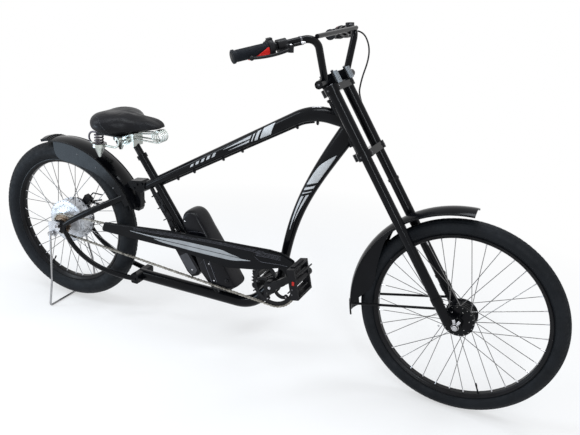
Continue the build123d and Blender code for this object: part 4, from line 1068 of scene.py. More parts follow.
def inflate(piece):
    rest = [v.co.copy() for v in piece.data.vertices]
    for vertex in piece.data.vertices:
        vertex.co = vertex.co - vertex.normal * saddleDetail["shrink"]
    pins = piece.vertex_groups.new(name="underside")
    low = min(co.z for co in rest)
    pins.add([i for i, co in enumerate(rest) if co.z < low + 12 * mm], 1.0, "REPLACE")
    cloth = piece.modifiers.new("cover", "CLOTH")
    cloth.settings.use_pressure = True
    cloth.settings.uniform_pressure_force = saddleDetail["pressure"]
    cloth.settings.effector_weights.gravity = 0
    cloth.settings.vertex_group_mass = "underside"
    cloth.settings.tension_stiffness = 40
    cloth.settings.bending_stiffness = 2
    cloth.point_cache.frame_end = saddleDetail["steps"]
    for step in range(1, saddleDetail["steps"] + 1):
        bpy.context.scene.frame_set(step)
    depsgraph = bpy.context.evaluated_depsgraph_get()
    swollen = piece.evaluated_get(depsgraph).to_mesh()
    moved = [v.co.copy() for v in swollen.vertices]
    piece.modifiers.clear()
    piece.vertex_groups.clear()
    bpy.context.scene.frame_set(1)
    for vertex, start, end in zip(piece.data.vertices, rest, moved):
        step = end - start
        if step.length > saddleDetail["reach"]:
            step *= saddleDetail["reach"] / step.length
        vertex.co = start + step


def smoothStep(low, high, value):
    share = min(max((value - low) / (high - low), 0), 1)
    return share * share * (3 - 2 * share)


def shapeSaddle(piece, low, high):
    # hollow along the middle, a raised tail, and a fine groove where the side panels meet the top
    length, half = high.x - low.x, (high.y - low.y) / 2
    for vertex in piece.data.vertices:
        x, y = (vertex.co.x - low.x) / length, vertex.co.y / half
        top = smoothStep(0.2, 0.75, vertex.normal.z)
        hollow = math.exp(-(y / 0.5) ** 2) * smoothStep(0.12, 0.3, x) * (1 - smoothStep(0.55, 0.85, x))
        groove = math.exp(-(y / 0.05) ** 2) * smoothStep(0.2, 0.3, x) * (1 - smoothStep(0.5, 0.62, x))
        vertex.co.z -= top * (2.4 * mm * hollow + 0.9 * mm * groove)


def makePiping(cushion):
    low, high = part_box("saddle_pad")
    half = (high.y - low.y) / 2
    middle = (low + high) / 2
    surface = surfaceOf(cushion)
    for side in (-1, 1):
        path = []
        for k in range(40):
            t = k / 39
            x = low.x + (high.x - low.x) * (0.04 + 0.42 * t)
            drop = 0.22 + 0.74 * smoothStep(0.25, 1.0, t) ** 1.4
            z = high.z - (high.z - low.z) * drop
            start = Vector((x, side * (half + 0.05), z))
            aim = Vector((middle.x - (middle.x - x) * 0.6, 0, z + 2 * mm))
            hit, normal = surface.ray_cast(start, (aim - start).normalized())[:2]
            if hit:
                path.append(hit + normal * 0.1 * mm)
        shape = Shape()
        tubeAlong(shape, path, saddleDetail["pipingRadius"], 8)
        addPiece("saddle_piping_" + ("right" if side < 0 else "left"), shape, "piping", "frame")
    hem = []
    for k in range(72):
        turn = 2 * math.pi * k / 72
        aim = Vector((middle.x, 0, low.z + 9 * mm))
        start = aim + Vector((math.cos(turn) * 0.4, math.sin(turn) * 0.4, 0))
        hit, normal = surface.ray_cast(start, (aim - start).normalized())[:2]
        if hit:
            hem.append(hit + normal * 0.1 * mm)
    shape = Shape()
    tubeAlong(shape, hem, 1.3 * mm, 8, True)
    addPiece("saddle_hem", shape, "piping", "frame")


saddleCushion = makeSaddle()
makePiping(saddleCushion)
print("saddle made")

# grips, switches, bolts and cables on the handlebar
gripDetail = {"ribs": 26, "ribHeight": 0.7 * mm, "flange": 1.18}


def makeGrips():
    shape, caps = Shape(), Shape()
    radius, length = forkSizes["gripRadius"], forkSizes["gripLength"]
    for side in (-1, 1):
        grip, run = gripLine(side)
        start = grip - run * length
        profile = [(0, radius * 0.7), (0.2 * mm, radius * gripDetail["flange"]),
                   (5 * mm, radius * gripDetail["flange"]), (6 * mm, radius * 0.94)]
        step = (length - 22 * mm) / gripDetail["ribs"]
        for k in range(gripDetail["ribs"]):
            at = 9 * mm + step * k
            profile += [(at, radius * 0.93), (at + step * 0.25, radius * 0.93 + gripDetail["ribHeight"]),
                        (at + step * 0.65, radius * 0.93 + gripDetail["ribHeight"]),
                        (at + step * 0.85, radius * 0.93)]
        profile += [(length - 8 * mm, radius * 0.95), (length - 7 * mm, radius * 1.12),
                    (length - 1.5 * mm, radius * 1.12), (length, radius * 1.0)]
        lathe(shape, start, run, profile, 36)
        lathe(caps, grip, run, [(-0.5 * mm, radius * 0.62), (0.6 * mm, radius * 0.62),
                                (1.2 * mm, radius * 0.5)], 28)
    addPiece("ribbed_grips", shape, "grip", "fork", 30, ("grips",))
    return addPiece("grip_end_caps", caps, "plastic", "fork")


throttleDetail = {
    "reach": 58 * mm,             # red shell along the grip
    "startTurn": 22,              # its upper edge at the collar, in degrees from the front
    "fall": 92,                   # how far that edge drops towards the grip's end
    "lowTurn": -104,              # its lower edge
    "thick": 2.2 * mm,
    "bulge": 1.14,                # at the collar, as a share of the grip's radius
    "taper": 0.07,
}


def makeThrottle():
    grip, run = gripLine(-1)
    radius = forkSizes["gripRadius"]
    inner = grip - run * forkSizes["gripLength"]
    side = run.cross(upward).normalized()
    above = side.cross(run).normalized()
    shape, red = Shape(), Shape()
    lathe(shape, inner, -run, [(0.3 * mm, 11.3 * mm), (0.3 * mm, radius * 1.3), (2 * mm, radius * 1.42),
                               (13 * mm, radius * 1.42), (15 * mm, radius * 1.34), (17 * mm, radius * 1.3),
                               (17 * mm, 11.3 * mm)], 40, True)
    slab(shape, inner - run * 9 * mm + above * radius * 1.35, run, side, above, (15, 15, 8))
    roundEdges(addPiece("throttle_housing", shape, "plastic", "fork", 30, ("throttle",)), 1.2 * mm)
    # red shell on the lower front of the grip, widest at the collar
    front = side if side.x > 0 else -side
    points, rows, columns = [], 9, 10
    for i in range(rows):
        t = i / (rows - 1)
        top = math.radians(throttleDetail["startTurn"] - throttleDetail["fall"] * t ** 1.2)
        base = math.radians(throttleDetail["lowTurn"])
        out = radius * (throttleDetail["bulge"] - throttleDetail["taper"] * t)
        middle = inner + run * (0.5 * mm + throttleDetail["reach"] * t)
        for k in range(columns):
            turn = base + (top - base) * k / (columns - 1)
            points.append(middle + (front * math.cos(turn) + above * math.sin(turn)) * out)
    red.add(points, gridFaces(rows, columns))
    lever = addPiece("throttle_lever", red, "redPlastic", "fork")
    roundEdges(thicken(lever, throttleDetail["thick"]), 0.6 * mm)


barGearDetail = {
    "leverClamp": 42.5 * mm,      # brake lever's clamp, behind the grip's inner end
    "barRing": 60 * mm,           # thin ring on the bar, behind the clamp
    "barrel": 33 * mm,            # cable adjuster
    "switch": 12 * mm,            # switch block, behind the grip
    "switchSize": (18, 16, 22),
}


def makeBarGear():
    bolts, tags, red = Shape(), Shape(), Shape()
    bar = forkSizes["barRadius"]
    for side in (-1, 1):
        grip, run = gripLine(side)
        spot = grip - run * (forkSizes["gripLength"] + barGearDetail["leverClamp"])
        lathe(tags, spot - run * barGearDetail["barRing"], run, [(0, bar), (0, bar * 1.08),
                                                                  (5 * mm, bar * 1.08), (5 * mm, bar)],
              32, True)
        domeBolt(bolts, spot + forward * 29 * mm + Vector((0, 0, 3.5)) * mm, upward, 4.4, 2.6)
        hexBolt(bolts, spot - forward * 17 * mm, -forward, 5, 3.4)
        barrel = spot + forward * 27.2 * mm - run * barGearDetail["barrel"]
        lathe(bolts, barrel, -run, inMm((0, 4.9), (1, 5.2), (6, 5.2), (7, 3.6), (12, 3.6), (13, 2.8)), 18)
    grip, run = gripLine(1)
    button = grip - run * (forkSizes["gripLength"] + barGearDetail["switch"])
    lathe(red, button + Vector((-10, 0, 8)) * mm, Vector((-0.8, 0, 0.6)),
          inMm((0, 5.4), (6, 5.4), (8, 4.4)), 20)
    switch = Shape()
    lathe(switch, grip - run * (forkSizes["gripLength"] + 2 * mm), -run,
          inMm((0, 11.4), (0, 19), (2, 20.5), (19, 20.5), (21, 19), (21, 11.4)), 36, True)
    slab(switch, button + Vector((-8, 0, -16)) * mm, run, upward, run.cross(upward),
         barGearDetail["switchSize"])
    roundEdges(addPiece("light_switch", switch, "plastic", "fork"), 1.2 * mm)
    lathe(tags, boxMiddle("bell") + upward * 14 * mm, upward,
          inMm((0, 12), (2, 11.4), (4, 9), (5.4, 5), (6, 1.5)), 28)
    addPiece("lever_bolts", bolts, "steel", "fork")
    addPiece("bar_rings", tags, "darkSteel", "fork")
    addPiece("horn_button", red, "redPlastic", "fork")


clampDetail = {
    "boltHalf": 20.3 * mm,        # bolts before and behind the bar
    "boltUp": 22.9 * mm,          # above the bar
    "faceAhead": 29.5 * mm,
    "faceUp": 27 * mm,            # above the top crown
    "faceSize": (25, 38, 6),
    "grooveOut": 5 * mm,
    "pinchAhead": 22.8 * mm,
    "pinchOut": 24.2 * mm,
    "plugDepth": 3 * mm,
}


def makeClampTrim():
    bolts, faces, grooveShade, ends = Shape(), Shape(), Shape(), Shape()
    sizes, trim = forkSizes, clampDetail
    leg, crown, plug = sizes["legAhead"], sizes["topCrownUp"], sizes["barBaseRadius"] * 0.94
    for side in (-1, 1):
        outward = across * side
        y = side * sizes["legOut"] * 0.83
        for ahead in (-trim["boltHalf"], trim["boltHalf"]):
            domeBolt(bolts, forkPoint(leg + ahead, sizes["barUp"] + trim["boltUp"], y), forkUp, 5, 3.4)
        at = forkPoint(leg + trim["faceAhead"], crown + trim["faceUp"], y)
        slab(faces, at, across, forkUp, forkAhead, trim["faceSize"])
        # painted shade: dark strips on the pale faces stand in for the shade in their grooves
        for k in (-1, 1):
            groove = at + across * k * trim["grooveOut"] + forkAhead * 2.8 * mm
            slab(grooveShade, groove, across, forkUp, forkAhead, (1.8, 34, 1.2))
        for up in (sizes["lowCrownUp"], crown):
            at = forkPoint(leg + trim["pinchAhead"], up, side * (sizes["legOut"] - 2 * mm))
            hexBolt(bolts, at, forkAhead, 5.4, 4)
            at = forkPoint(leg - 4 * mm, up, side * (sizes["legOut"] + trim["pinchOut"]))
            hexBolt(bolts, at, outward, 5.4, 4.2)
        lathe(bolts, forkPoint(leg, crown + 12.4 * mm, side * sizes["legOut"]), forkUp,
              inMm((0, 12.5), (2, 12.5), (3.2, 11), (3.2, 6), (2, 5)), 6)
    lathe(bolts, forkPoint(sizes["steerAhead"], crown + 17 * mm), forkUp,
          inMm((0, 17), (5, 17), (7, 15), (8, 9), (10, 8), (12, 5)), 24)
    for side in (-1, 1):
        outward = across * side
        end = forkPoint(leg, sizes["barUp"], side * (sizes["barBaseHalf"] - trim["plugDepth"]))
        lathe(ends, end, outward, [(0, plug), (1.6 * mm, plug), (2.4 * mm, sizes["barBaseRadius"] * 0.5)], 28)
        domeBolt(bolts, end + outward * 2 * mm, outward, 3.6, 2.4)
    addPiece("bar_base_plugs", ends, "plastic", "fork")
    addPiece("crown_bolts", bolts, "darkSteel", "fork")
    addPiece("clamp_groove_shade", grooveShade, "plastic", "fork")
    roundEdges(addPiece("clamp_faces", faces, "paleBlock", "fork"), 1.6 * mm, 3)


makeGrips()
makeThrottle()
makeBarGear()
makeClampTrim()
print("handlebar gear made")

# graphics: own pale blades and bars laid on the tubes and the guard, and painted highlight lines along the
# guard's ribs
decalDetail = {
    "lift": 0.4 * mm,
    "thick": 0.15 * mm,
    "across": 9,
    "bars": 5,                    # slanted bars behind the top tube's blades
    "barStep": 22 * mm,
}


def tubeMiddle(surface, axis, place):
    # centre and half size of a tube where a plumb or a level line in the middle plane crosses it
    if axis == "x":
        top = surface.ray_cast(Vector((place, 0, 2)), -upward)[0]
        low = surface.ray_cast(Vector((place, 0, -1)), upward)[0]
        return (top.z + low.z) / 2, (top.z - low.z) / 2
    front = surface.ray_cast(Vector((2, 0, place)), Vector((-1, 0, 0)))[0]
    back = surface.ray_cast(Vector((-2, 0, place)), forward)[0]
    return (front.x + back.x) / 2, (front.x - back.x) / 2


def layStrip(shape, surface, side, rows):
    # rows of (low, high) pairs in the side view, cast sideways on to the surface
    steps, points, count = decalDetail["across"], [], 0
    for low, high in rows:
        line = []
        for k in range(steps):
            spot = Vector(low).lerp(Vector(high), k / (steps - 1))
            hit, normal = castSide(surface, spot.x, spot.y, side)
            if hit:
                line.append(hit + normal * decalDetail["lift"])
        if len(line) == steps:
            points += line
            count += 1
    shape.add(points, gridFaces(count, steps))


def tubeStrip(shape, surface, side, axis, stations, lean=0.0):
    # stations are (place along the tube, low share, high share) of the tube's half size
    rows = []
    for at, low, high in catmull([Vector(s) for s in stations], 6):
        pair = []
        for share in (low, high):
            along = at + lean * share
            middle, half = tubeMiddle(surface, axis, along)
            place = middle + half * share
            pair.append((along, place) if axis == "x" else (place, along))
        rows.append(pair)
    layStrip(shape, surface, side, rows)


def flatStrip(shape, surface, side, stations, smooth=6):
    # stations are (x, low z, high z) on a flat side
    smoothed = catmull([Vector(s) for s in stations], smooth)
    layStrip(shape, surface, side, [((x, low), (x, high)) for x, low, high in smoothed])


def addDecal(name, shape, finishName):
    return thicken(addPiece(name, shape, finishName, "frame", 60, ()), decalDetail["thick"])


# each blade: (place along the tube, low share, high share), the shares of the tube's half size
topBlades = (
    ((0.068, -0.55, 0.66), (0.088, -0.6, 0.7), (0.108, -0.6, 0.7)),
    ((0.047, -0.5, 0.6), (0.053, -0.52, 0.62), (0.059, -0.54, 0.64)),
    ((0.034, -0.42, 0.52), (0.0365, -0.43, 0.53), (0.039, -0.44, 0.54)),
    ((0.026, 0.06, 0.46), (0.0, 0.09, 0.42), (-0.04, 0.16, 0.34), (-0.08, 0.22, 0.25)),
    ((0.026, -0.38, -0.1), (0.008, -0.37, -0.14), (-0.02, -0.31, -0.18), (-0.052, -0.25, -0.22)),
)
downBlades = (
    ((0.786, 0.5, 0.56), (0.772, 0.05, 0.6), (0.755, -0.35, 0.62), (0.72, -0.52, 0.62), (0.685, -0.55, 0.58)),
    ((0.674, -0.55, 0.56), (0.669, -0.55, 0.55), (0.664, -0.54, 0.54)),
    ((0.654, -0.52, 0.5), (0.652, -0.52, 0.5), (0.65, -0.51, 0.49)),
    ((0.64, 0.12, 0.46), (0.61, 0.1, 0.38), (0.57, 0.08, 0.24), (0.54, 0.1, 0.14)),
    ((0.64, -0.48, -0.12), (0.6, -0.42, -0.14), (0.55, -0.3, -0.12), (0.51, -0.16, -0.1)),
)
# on the guard: (x, low z, high z) of a blade, and (x, z) of a painted highlight line along a rib or the
# hood's bead
guardBlades = (
    ((-0.447, 0.384, 0.3855), (-0.372, 0.381, 0.3853), (-0.304, 0.3806, 0.388), (-0.235, 0.3812, 0.3945),
     (-0.155, 0.3818, 0.3965), (-0.06, 0.3826, 0.3975), (-0.02, 0.383, 0.391), (0.02, 0.3836, 0.3846)),
    ((-0.34, 0.3752, 0.3762), (-0.3, 0.3695, 0.3775), (-0.235, 0.3672, 0.379), (-0.155, 0.365, 0.3797),
     (-0.06, 0.3655, 0.3805), (-0.0088, 0.367, 0.381), (0.03, 0.3745, 0.3816), (0.0644, 0.3815, 0.3826)),
)
guardRibHighlights = ((-0.43, 0.4065), (-0.26, 0.418), (-0.113, 0.4275), (0.022, 0.4325), (0.12, 0.434))
hoodRibHighlights = ((0.086, 0.4265), (0.13, 0.4282), (0.181, 0.4294))
hoodBeadHighlight = ((0.0728, 0.4085), (0.083, 0.4), (0.1029, 0.3905), (0.14, 0.3925), (0.1808, 0.3959),
            (0.207, 0.3962))


def makeGraphics():
    top, down, guard = nodeSurface("top_tube"), nodeSurface("down_tube"), nodeSurface("chain_guard")
    for side, word in ((-1, "right"), (1, "left")):
        shape = Shape()
        for stations in topBlades:
            tubeStrip(shape, top, side, "x", stations, 0.011)
        for k in range(decalDetail["bars"]):
            at = -0.108 - decalDetail["barStep"] * k
            reach = 0.34 - 0.04 * k
            tubeStrip(shape, top, side, "x", ((at, -0.2, reach), (at - 6 * mm, -0.2, reach),
                                              (at - 12 * mm, -0.2, reach)), 0.012)
        addDecal("top_tube_blades_" + word, shape, "flash")
        shape = Shape()
        for stations in downBlades:
            tubeStrip(shape, down, side, "z", stations, 0.012)
        addDecal("down_tube_blades_" + word, shape, "flash")
    pale, fine = Shape(), Shape()
    for stations in guardBlades:
        flatStrip(pale, guard, -1, stations)
    addDecal("guard_blades", pale, "guardFlash")
    # painted highlights: pale lines where the guard's ribs and the hood's bead catch the light
    for lines, count, first, step, wide in ((guardRibHighlights, 3, 4.8, 4.2, 0.7), (hoodRibHighlights, 4, 2.2, 4.6, 0.8)):
        for k in range(count):
            down = first + step * k
            flatStrip(fine, guard, -1, [(x, z - (down + wide) * mm, z - down * mm) for x, z in lines])
    flatStrip(fine, guard, -1, [(x, z - 0.5 * mm, z + 0.5 * mm) for x, z in hoodBeadHighlight])
    addDecal("guard_rib_highlights", fine, "greyLine")


# brake cables: the front one repeats the tube's route, as control points
cableDetail = {
    "diameter": 5.33 * mm,
    "slack": ((3.3, 4.6, 2.35), (3.6, 2.4, 2.1), (3.0, 0.5, 1.76), (1.3, -1.6, 1.3)),
    "clipShares": (0.8, 0.5, 0.22),   # heights on the leg, as shares of the low crown's
}


def makeCord(name, route, diameter, body, replaced=()):
    curve = bpy.data.curves.new(name, "CURVE")
    curve.dimensions = "3D"
    line = curve.splines.new("NURBS")
    line.points.add(len(route) - 1)
    for point, place in zip(line.points, route):
        point.co = (*place, 1)
    line.order_u = 3
    line.use_endpoint_u = True
    line.resolution_u = 12
    curve.bevel_depth = diameter / 2
    curve.bevel_resolution = 4
    curve.use_fill_caps = True
    curve.materials.append(finishes["sheath"])
    return addRider(name, curve, body, replaced)


def splineLength(cord):
    bare = cord.data.copy()
    bare.bevel_depth = 0
    holder = bpy.data.objects.new("measure", bare)
    mesh = bpy.data.meshes.new_from_object(holder)
    points = [v.co.copy() for v in mesh.vertices]
    bpy.data.objects.remove(holder)
    bpy.data.meshes.remove(mesh)
    bpy.data.curves.remove(bare)
    return sum((b - a).length for a, b in zip(points, points[1:]))


def makeCables():
    sizes = forkSizes
    bar = sizes["barRadius"] * 2
    grip, run = gripLine(1)
    gripAcross = sizes["gripRadius"] * 2
    leave = (grip - run * (sizes["gripLength"] + gripAcross * 1.25) + forward * gripAcross * 0.8
             - run * gripAcross * 0.97)
    route = [leave]
    # the slack is given ahead and up in bar widths, and out in half spans of the risers
    for ahead, up, out in cableDetail["slack"]:
        route.append(forkPoint(sizes["legAhead"] + bar * ahead, sizes["barUp"] + bar * up,
                               sizes["riserHalf"] * out))
    legAcross = 2 * sizes["lowLegRadius"]
    beside = sizes["legOut"] + legAcross * 0.5 + bar * 0.2
    for up, out in ((sizes["topCrownUp"] - 2.4 * sizes["crownThick"], beside + legAcross * 0.32),
                    (sizes["lowCrownUp"] - sizes["crownThick"], beside + legAcross * 0.32),
                    (sizes["lowCrownUp"] * 0.85, beside), (legAcross * 3.4, beside)):
        route.append(forkPoint(sizes["legAhead"], up, out))
    cord = makeCord("front_brake_cable", route, cableDetail["diameter"], "fork", ("brake_cable",))
    trim = Shape()
    for share in cableDetail["clipShares"]:
        up = sizes["lowCrownUp"] * share
        radius = sizes["lowLegRadius"]
        lathe(trim, forkPoint(sizes["legAhead"], up, sizes["legOut"]), forkUp,
              [(0, radius), (0, radius * 1.14), (8 * mm, radius * 1.14), (8 * mm, radius)], 32, True)
        lathe(trim, forkPoint(sizes["legAhead"], up - mm, beside), forkUp,
              inMm((0, 2.6), (0, 4.6), (10, 4.6), (10, 2.6)), 16, True)
    lathe(trim, forkPoint(sizes["legAhead"], legAcross * 2.4, beside), forkUp,
          [(0, 3.4 * mm), (4 * mm, 4.8 * mm), (legAcross, 4.8 * mm), (legAcross, 2.7 * mm)], 16)
    addPiece("brake_cable_clips", trim, "sheath", "fork")
    splineLength(cord)
    print("front brake cable", round(splineLength(cord), 3), "m")


# frame trim: loom, clips, battery and controller details
frameTrim = {
    "loomRadius": 3.2 * mm,
    "loomDrop": 2.2 * mm,
    "clipPlaces": (-0.275, -0.206, -0.088, -0.014, 0.185, 0.257),   # along the bicycle
}


def underTube(surface, x, drop):
    hit = surface.ray_cast(Vector((x, 0, -1)), upward)[0]
    return Vector((x, 0, hit.z - drop))


def makeLoom():
    top = nodeSurface("top_tube")
    loom, clips = Shape(), Shape()
    spots = [-0.33 + 0.036 * k for k in range(17)]
    line = [underTube(top, x, frameTrim["loomDrop"]) for x in spots]
    line = [Vector((-0.352, 0, line[0].z - 20 * mm)), Vector((-0.343, 0, line[0].z - 8 * mm))] + line
    tubeAlong(loom, catmull(line, 4), frameTrim["loomRadius"], 12)
    addPiece("frame_loom", loom, "sheath", "frame")
    for x in frameTrim["clipPlaces"]:
        spot = underTube(top, x, 0)
        ahead = (underTube(top, x + 5 * mm, 0) - underTube(top, x - 5 * mm, 0)).normalized()
        down = across.cross(ahead).normalized()
        if down.z > 0:
            down = -down
        slab(clips, spot + down * 4.4 * mm, ahead, across, down, (7, 9, 9))
        lathe(clips, spot + down * 8.6 * mm, down, inMm((0, 3.4), (2.2, 3.0), (3, 1.4)), 12)
    roundEdges(addPiece("loom_clips", clips, "plastic", "frame"), 0.8 * mm)


def makeHeadPlate():
    # small bright plate on the upper side of the top tube, behind the head
    top = nodeSurface("top_tube")
    shape = Shape()
    points, steps, count = [], 5, 9
    for i in range(count):
        x = 0.236 + 0.036 * i / (count - 1)
        for k in range(steps):
            y = (-7 + 14 * k / (steps - 1)) * mm
            hit, normal = top.ray_cast(Vector((x, y, 2)), -upward)[:2]
            points.append(hit + normal * 0.3 * mm)
    shape.add(points, gridFaces(count, steps))
    addDecal("top_tube_plate", shape, "steel").modifiers["thickness"].thickness = 0.5 * mm


seatLine = {
    "foot": (-0.1234, 0, 0.2248),  # point of the seat tube's axis beside the battery's lower end
    "angle": 55.1,                # degrees from level, leaning back
    "tubeRadius": 15.5 * mm,
}
batterySizes = {
    "length": 290 * mm,
    "half": 43 * mm,
    "railHalf": 18 * mm,
    "rounding": 20 * mm,          # how far the sides draw in towards the flat faces
    # outline as shares of the length, up the seat tube and square to it: a round top, then a plain foot
    "crown": ((0.16, 0.008), (0.5, 0.072), (0.8, 0.128), (0.9, 0.16), (0.957, 0.225), (0.957, 0.305),
              (0.905, 0.372), (0.8, 0.402), (0.55, 0.4)),
    "foot": ((0.2, 0.386), (-0.165, 0.37), (-0.173, 0.36), (-0.18, 0.2), (-0.075, 0.05), (-0.06, 0.043)),
    "rail": ((0.05, 0.062), (0.8, 0.062), (0.86, 0.16), (0.05, 0.1)),
    "panel": ((0.5, -0.19), (0.28, -0.19), (0.22, -0.17), (0.21, -0.1), (0.24, -0.055), (0.5, -0.055)),
    "knob": (-0.04, 0.322),
    "screws": ((0.03, 0.14), (0.25, 0.2), (0.86, 0.2)),
    "panelScrew": (0.27, -0.12),
    "seams": (((0.74, 0.11), (0.6, 0.395)), ((0.02, 0.1), (0.34, 0.165)), ((0.0, 0.17), (0.3, 0.235)),
              ((0.3, 0.08), (0.3, 0.235))),
}


def seatAxes():
    turn = math.radians(seatLine["angle"])
    return Vector((-math.cos(turn), 0, math.sin(turn))), Vector((math.sin(turn), 0, math.cos(turn)))


def seatPoint(up, ahead, y=0.0):
    along, square = seatAxes()
    return Vector(seatLine["foot"]) + along * up + square * ahead + across * y


def batteryPoint(up, ahead, y=0.0):
    size = batterySizes["length"]
    return seatPoint(up * size, ahead * size, y)


def makeBattery():
    rounded = catmull([(up, ahead, 0) for up, ahead in batterySizes["crown"]], 5)
    outline = [(p.x, p.y) for p in rounded] + list(batterySizes["foot"])
    count, steps = len(outline), 7
    middle = [sum(p[k] for p in outline) / count for k in (0, 1)]
    points = []
    for k in range(-steps, steps + 1):
        turn = math.radians(90 * k / steps)
        y = batterySizes["half"] * math.copysign(abs(math.sin(turn)) ** 0.6, k)
        inset = batterySizes["rounding"] * (1 - abs(math.cos(turn)) ** 0.75) if k else 0
        for a, c in outline:
            keep = 1 - inset / (math.hypot(a - middle[0], c - middle[1]) * batterySizes["length"])
            points.append(batteryPoint(middle[0] + (a - middle[0]) * keep,
                                       middle[1] + (c - middle[1]) * keep, y))
    faces = bridgeRings(2 * steps + 1, count, False)
    faces += [tuple(range(count)), tuple(range(len(points) - count, len(points)))]
    shape = Shape()
    shape.add(points, faces)
    half = batterySizes["railHalf"]
    prism(shape, [batteryPoint(a, c, -half) for a, c in batterySizes["rail"]], across * 2 * half)
    case = addPiece("battery_shell", shape, "casePlastic", "frame", 38, ("battery_case",))
    return roundEdges(case, 1.5 * mm)


def shellSpot(surface, up, ahead):
    place = batteryPoint(up, ahead)
    return castSide(surface, place.x, place.z, -1)


def makeBatteryTrim(case):
    along, ahead = seatAxes()
    surface = surfaceOf(case)
    dark, bright, seams, panel = Shape(), Shape(), Shape(), Shape()
    spot, normal = shellSpot(surface, *batterySizes["knob"])
    lathe(dark, spot - normal * mm, normal, inMm((0, 8), (3, 8.6), (6, 8.2), (7.4, 6.4), (7.8, 3)), 28)
    slab(dark, spot + normal * 6.8 * mm, along, ahead, normal, (12, 2.6, 2.4))
    for up, out in batterySizes["screws"]:
        spot, normal = shellSpot(surface, up, out)
        domeBolt(bright, spot - normal * 0.4 * mm, normal, 3.6, 2.6)
    # lid seam across the barrel and the lines of the slide rail
    for first, second in batterySizes["seams"]:
        rows = []
        for k in range(15):
            t = k / 14
            up = first[0] + (second[0] - first[0]) * t + 0.02 * math.sin(math.pi * t)
            place = batteryPoint(up, first[1] + (second[1] - first[1]) * t)
            rows.append([(place.x + way * 0.6 * mm, place.z + way * 0.5 * mm) for way in (-1, 1)])
        layStrip(seams, surface, -1, rows)
    addDecal("battery_seams", seams, "greyLine")
    roundEdges(addPiece("battery_knob", dark, "casePlastic", "frame"), 0.6 * mm)
    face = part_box("controller")[0].y
    prism(panel, [batteryPoint(a, c, face) for a, c in batterySizes["panel"]], -across * 1.2 * mm)
    roundEdges(addPiece("controller_panel", panel, "paleInset", "frame"), 2 * mm, 3)
    domeBolt(bright, batteryPoint(*batterySizes["panelScrew"], face - 1.2 * mm), -across, 3.4, 2.2)
    addPiece("case_screws", bright, "steel", "frame")


wiringDetail = {
    # height along the seat tube and distance behind its wall, in millimetres
    "bundle": ((392, 9), (350, 10), (315, 12), (280, 10), (246, 12), (212, 11), (186, 12)),
    "bundleRadius": 8.5,
    "plugs": (330, 262, 205),
    "ties": (0.18, 0.42, 0.63, 0.85),   # shares of the loom's height
    "tieRadius": (11.4, 12.6),
}


def makeWiringTrim():
    low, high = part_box("wiring")
    pink, ties, bundle = Shape(), Shape(), Shape()
    along, ahead = seatAxes()
    foot = Vector((high.x - 8 * mm, -9 * mm, low.z + 22 * mm))
    slab(pink, foot, along, across, ahead, (17, 12, 10))
    slab(pink, foot + along * 11 * mm, along, across, ahead, (6, 9, 7))
    roundEdges(addPiece("wire_connector", pink, "pinkPlug", "frame"), 1 * mm)
    # a second taped bundle fills the space between the loom and the seat tube
    path = [seatPoint(up * mm, -seatLine["tubeRadius"] - out * mm, 2 * mm)
            for up, out in wiringDetail["bundle"]]
    thick = [(wiringDetail["bundleRadius"] + 1.6 * math.sin(k * 1.1) + 0.9 * math.sin(k * 2.3)) * mm
             for k in range(6 * 5 + 1)]
    tubeAlong(bundle, catmull(path, 5), thick, 18)
    for up in wiringDetail["plugs"]:
        slab(bundle, seatPoint(up * mm, -seatLine["tubeRadius"] - 13 * mm, -7 * mm), along, across, ahead,
             (24, 13, 15))
    roundEdges(addPiece("taped_bundle", bundle, "tape", "frame", 40), 1.2 * mm)
    inner, outer = wiringDetail["tieRadius"]
    for share in wiringDetail["ties"]:
        spot = low.lerp(high, share)
        centre = Vector((high.x - (high.x - low.x) * share, 0, spot.z))
        lathe(ties, centre, along, inMm((-2, inner), (-2, outer), (2, outer), (2, inner)), 28, True)
    addPiece("wire_ties", ties, "plastic", "frame")


# pedals: reflectors and grip studs on the blocks
pedalDetail = {
    "rowOut": 0.36,               # two rows of studs, share of the block's height from its middle
    "rowLong": 0.74,              # share of the block's length
    "pinsLong": 0.66,
    "pins": 7,
    "lensUp": 0.06,
    "lensSize": (13, 8, 2),
    "capDrop": 0.22,
    "screwGap": 9 * mm,
}


def makePedalTrim():
    trim = pedalDetail
    for node, side in (("pedal_right", -1), ("pedal_left", 1)):
        low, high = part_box(node)
        middle = (low + high) / 2
        lens, studs, bolts = Shape(), Shape(), Shape()
        long, tall = high.y - low.y, high.z - low.z
        for face in (-1, 1):
            x = (low.x if face < 0 else high.x) - face * 2.4 * mm
            for k in (-1, 1):
                spot = Vector((x, middle.y, middle.z + k * tall * trim["rowOut"]))
                slab(studs, spot, across, upward, forward, (long * trim["rowLong"] / mm, 3.6, 3))
                for j in range(trim["pins"]):
                    pin = spot + across * (long * trim["pinsLong"] * (j / (trim["pins"] - 1) - 0.5))
                    lathe(studs, pin, Vector((face, 0, 0)), inMm((0, 2.1), (2.3, 1.7)), 8)
        end = Vector((middle.x + 2 * mm, high.y if side > 0 else low.y, middle.z + tall * trim["lensUp"]))
        slab(lens, end + across * side * 0.6 * mm, upward, forward, across, trim["lensSize"])
        roundEdges(addPiece(node + "_reflectors", lens, "redLens", node), 0.6 * mm)
        addPiece(node + "_studs", studs, "plastic", node)
        cap = Vector((middle.x, high.y if side > 0 else low.y, middle.z - tall * trim["capDrop"]))
        for k in (-1, 1):
            lathe(bolts, cap + upward * k * trim["screwGap"] - across * side * mm, across * side,
                  inMm((0, 2.6), (2, 2.6), (2.6, 1.6)), 14)
        addPiece(node + "_cage_screws", bolts, "darkSteel", node)


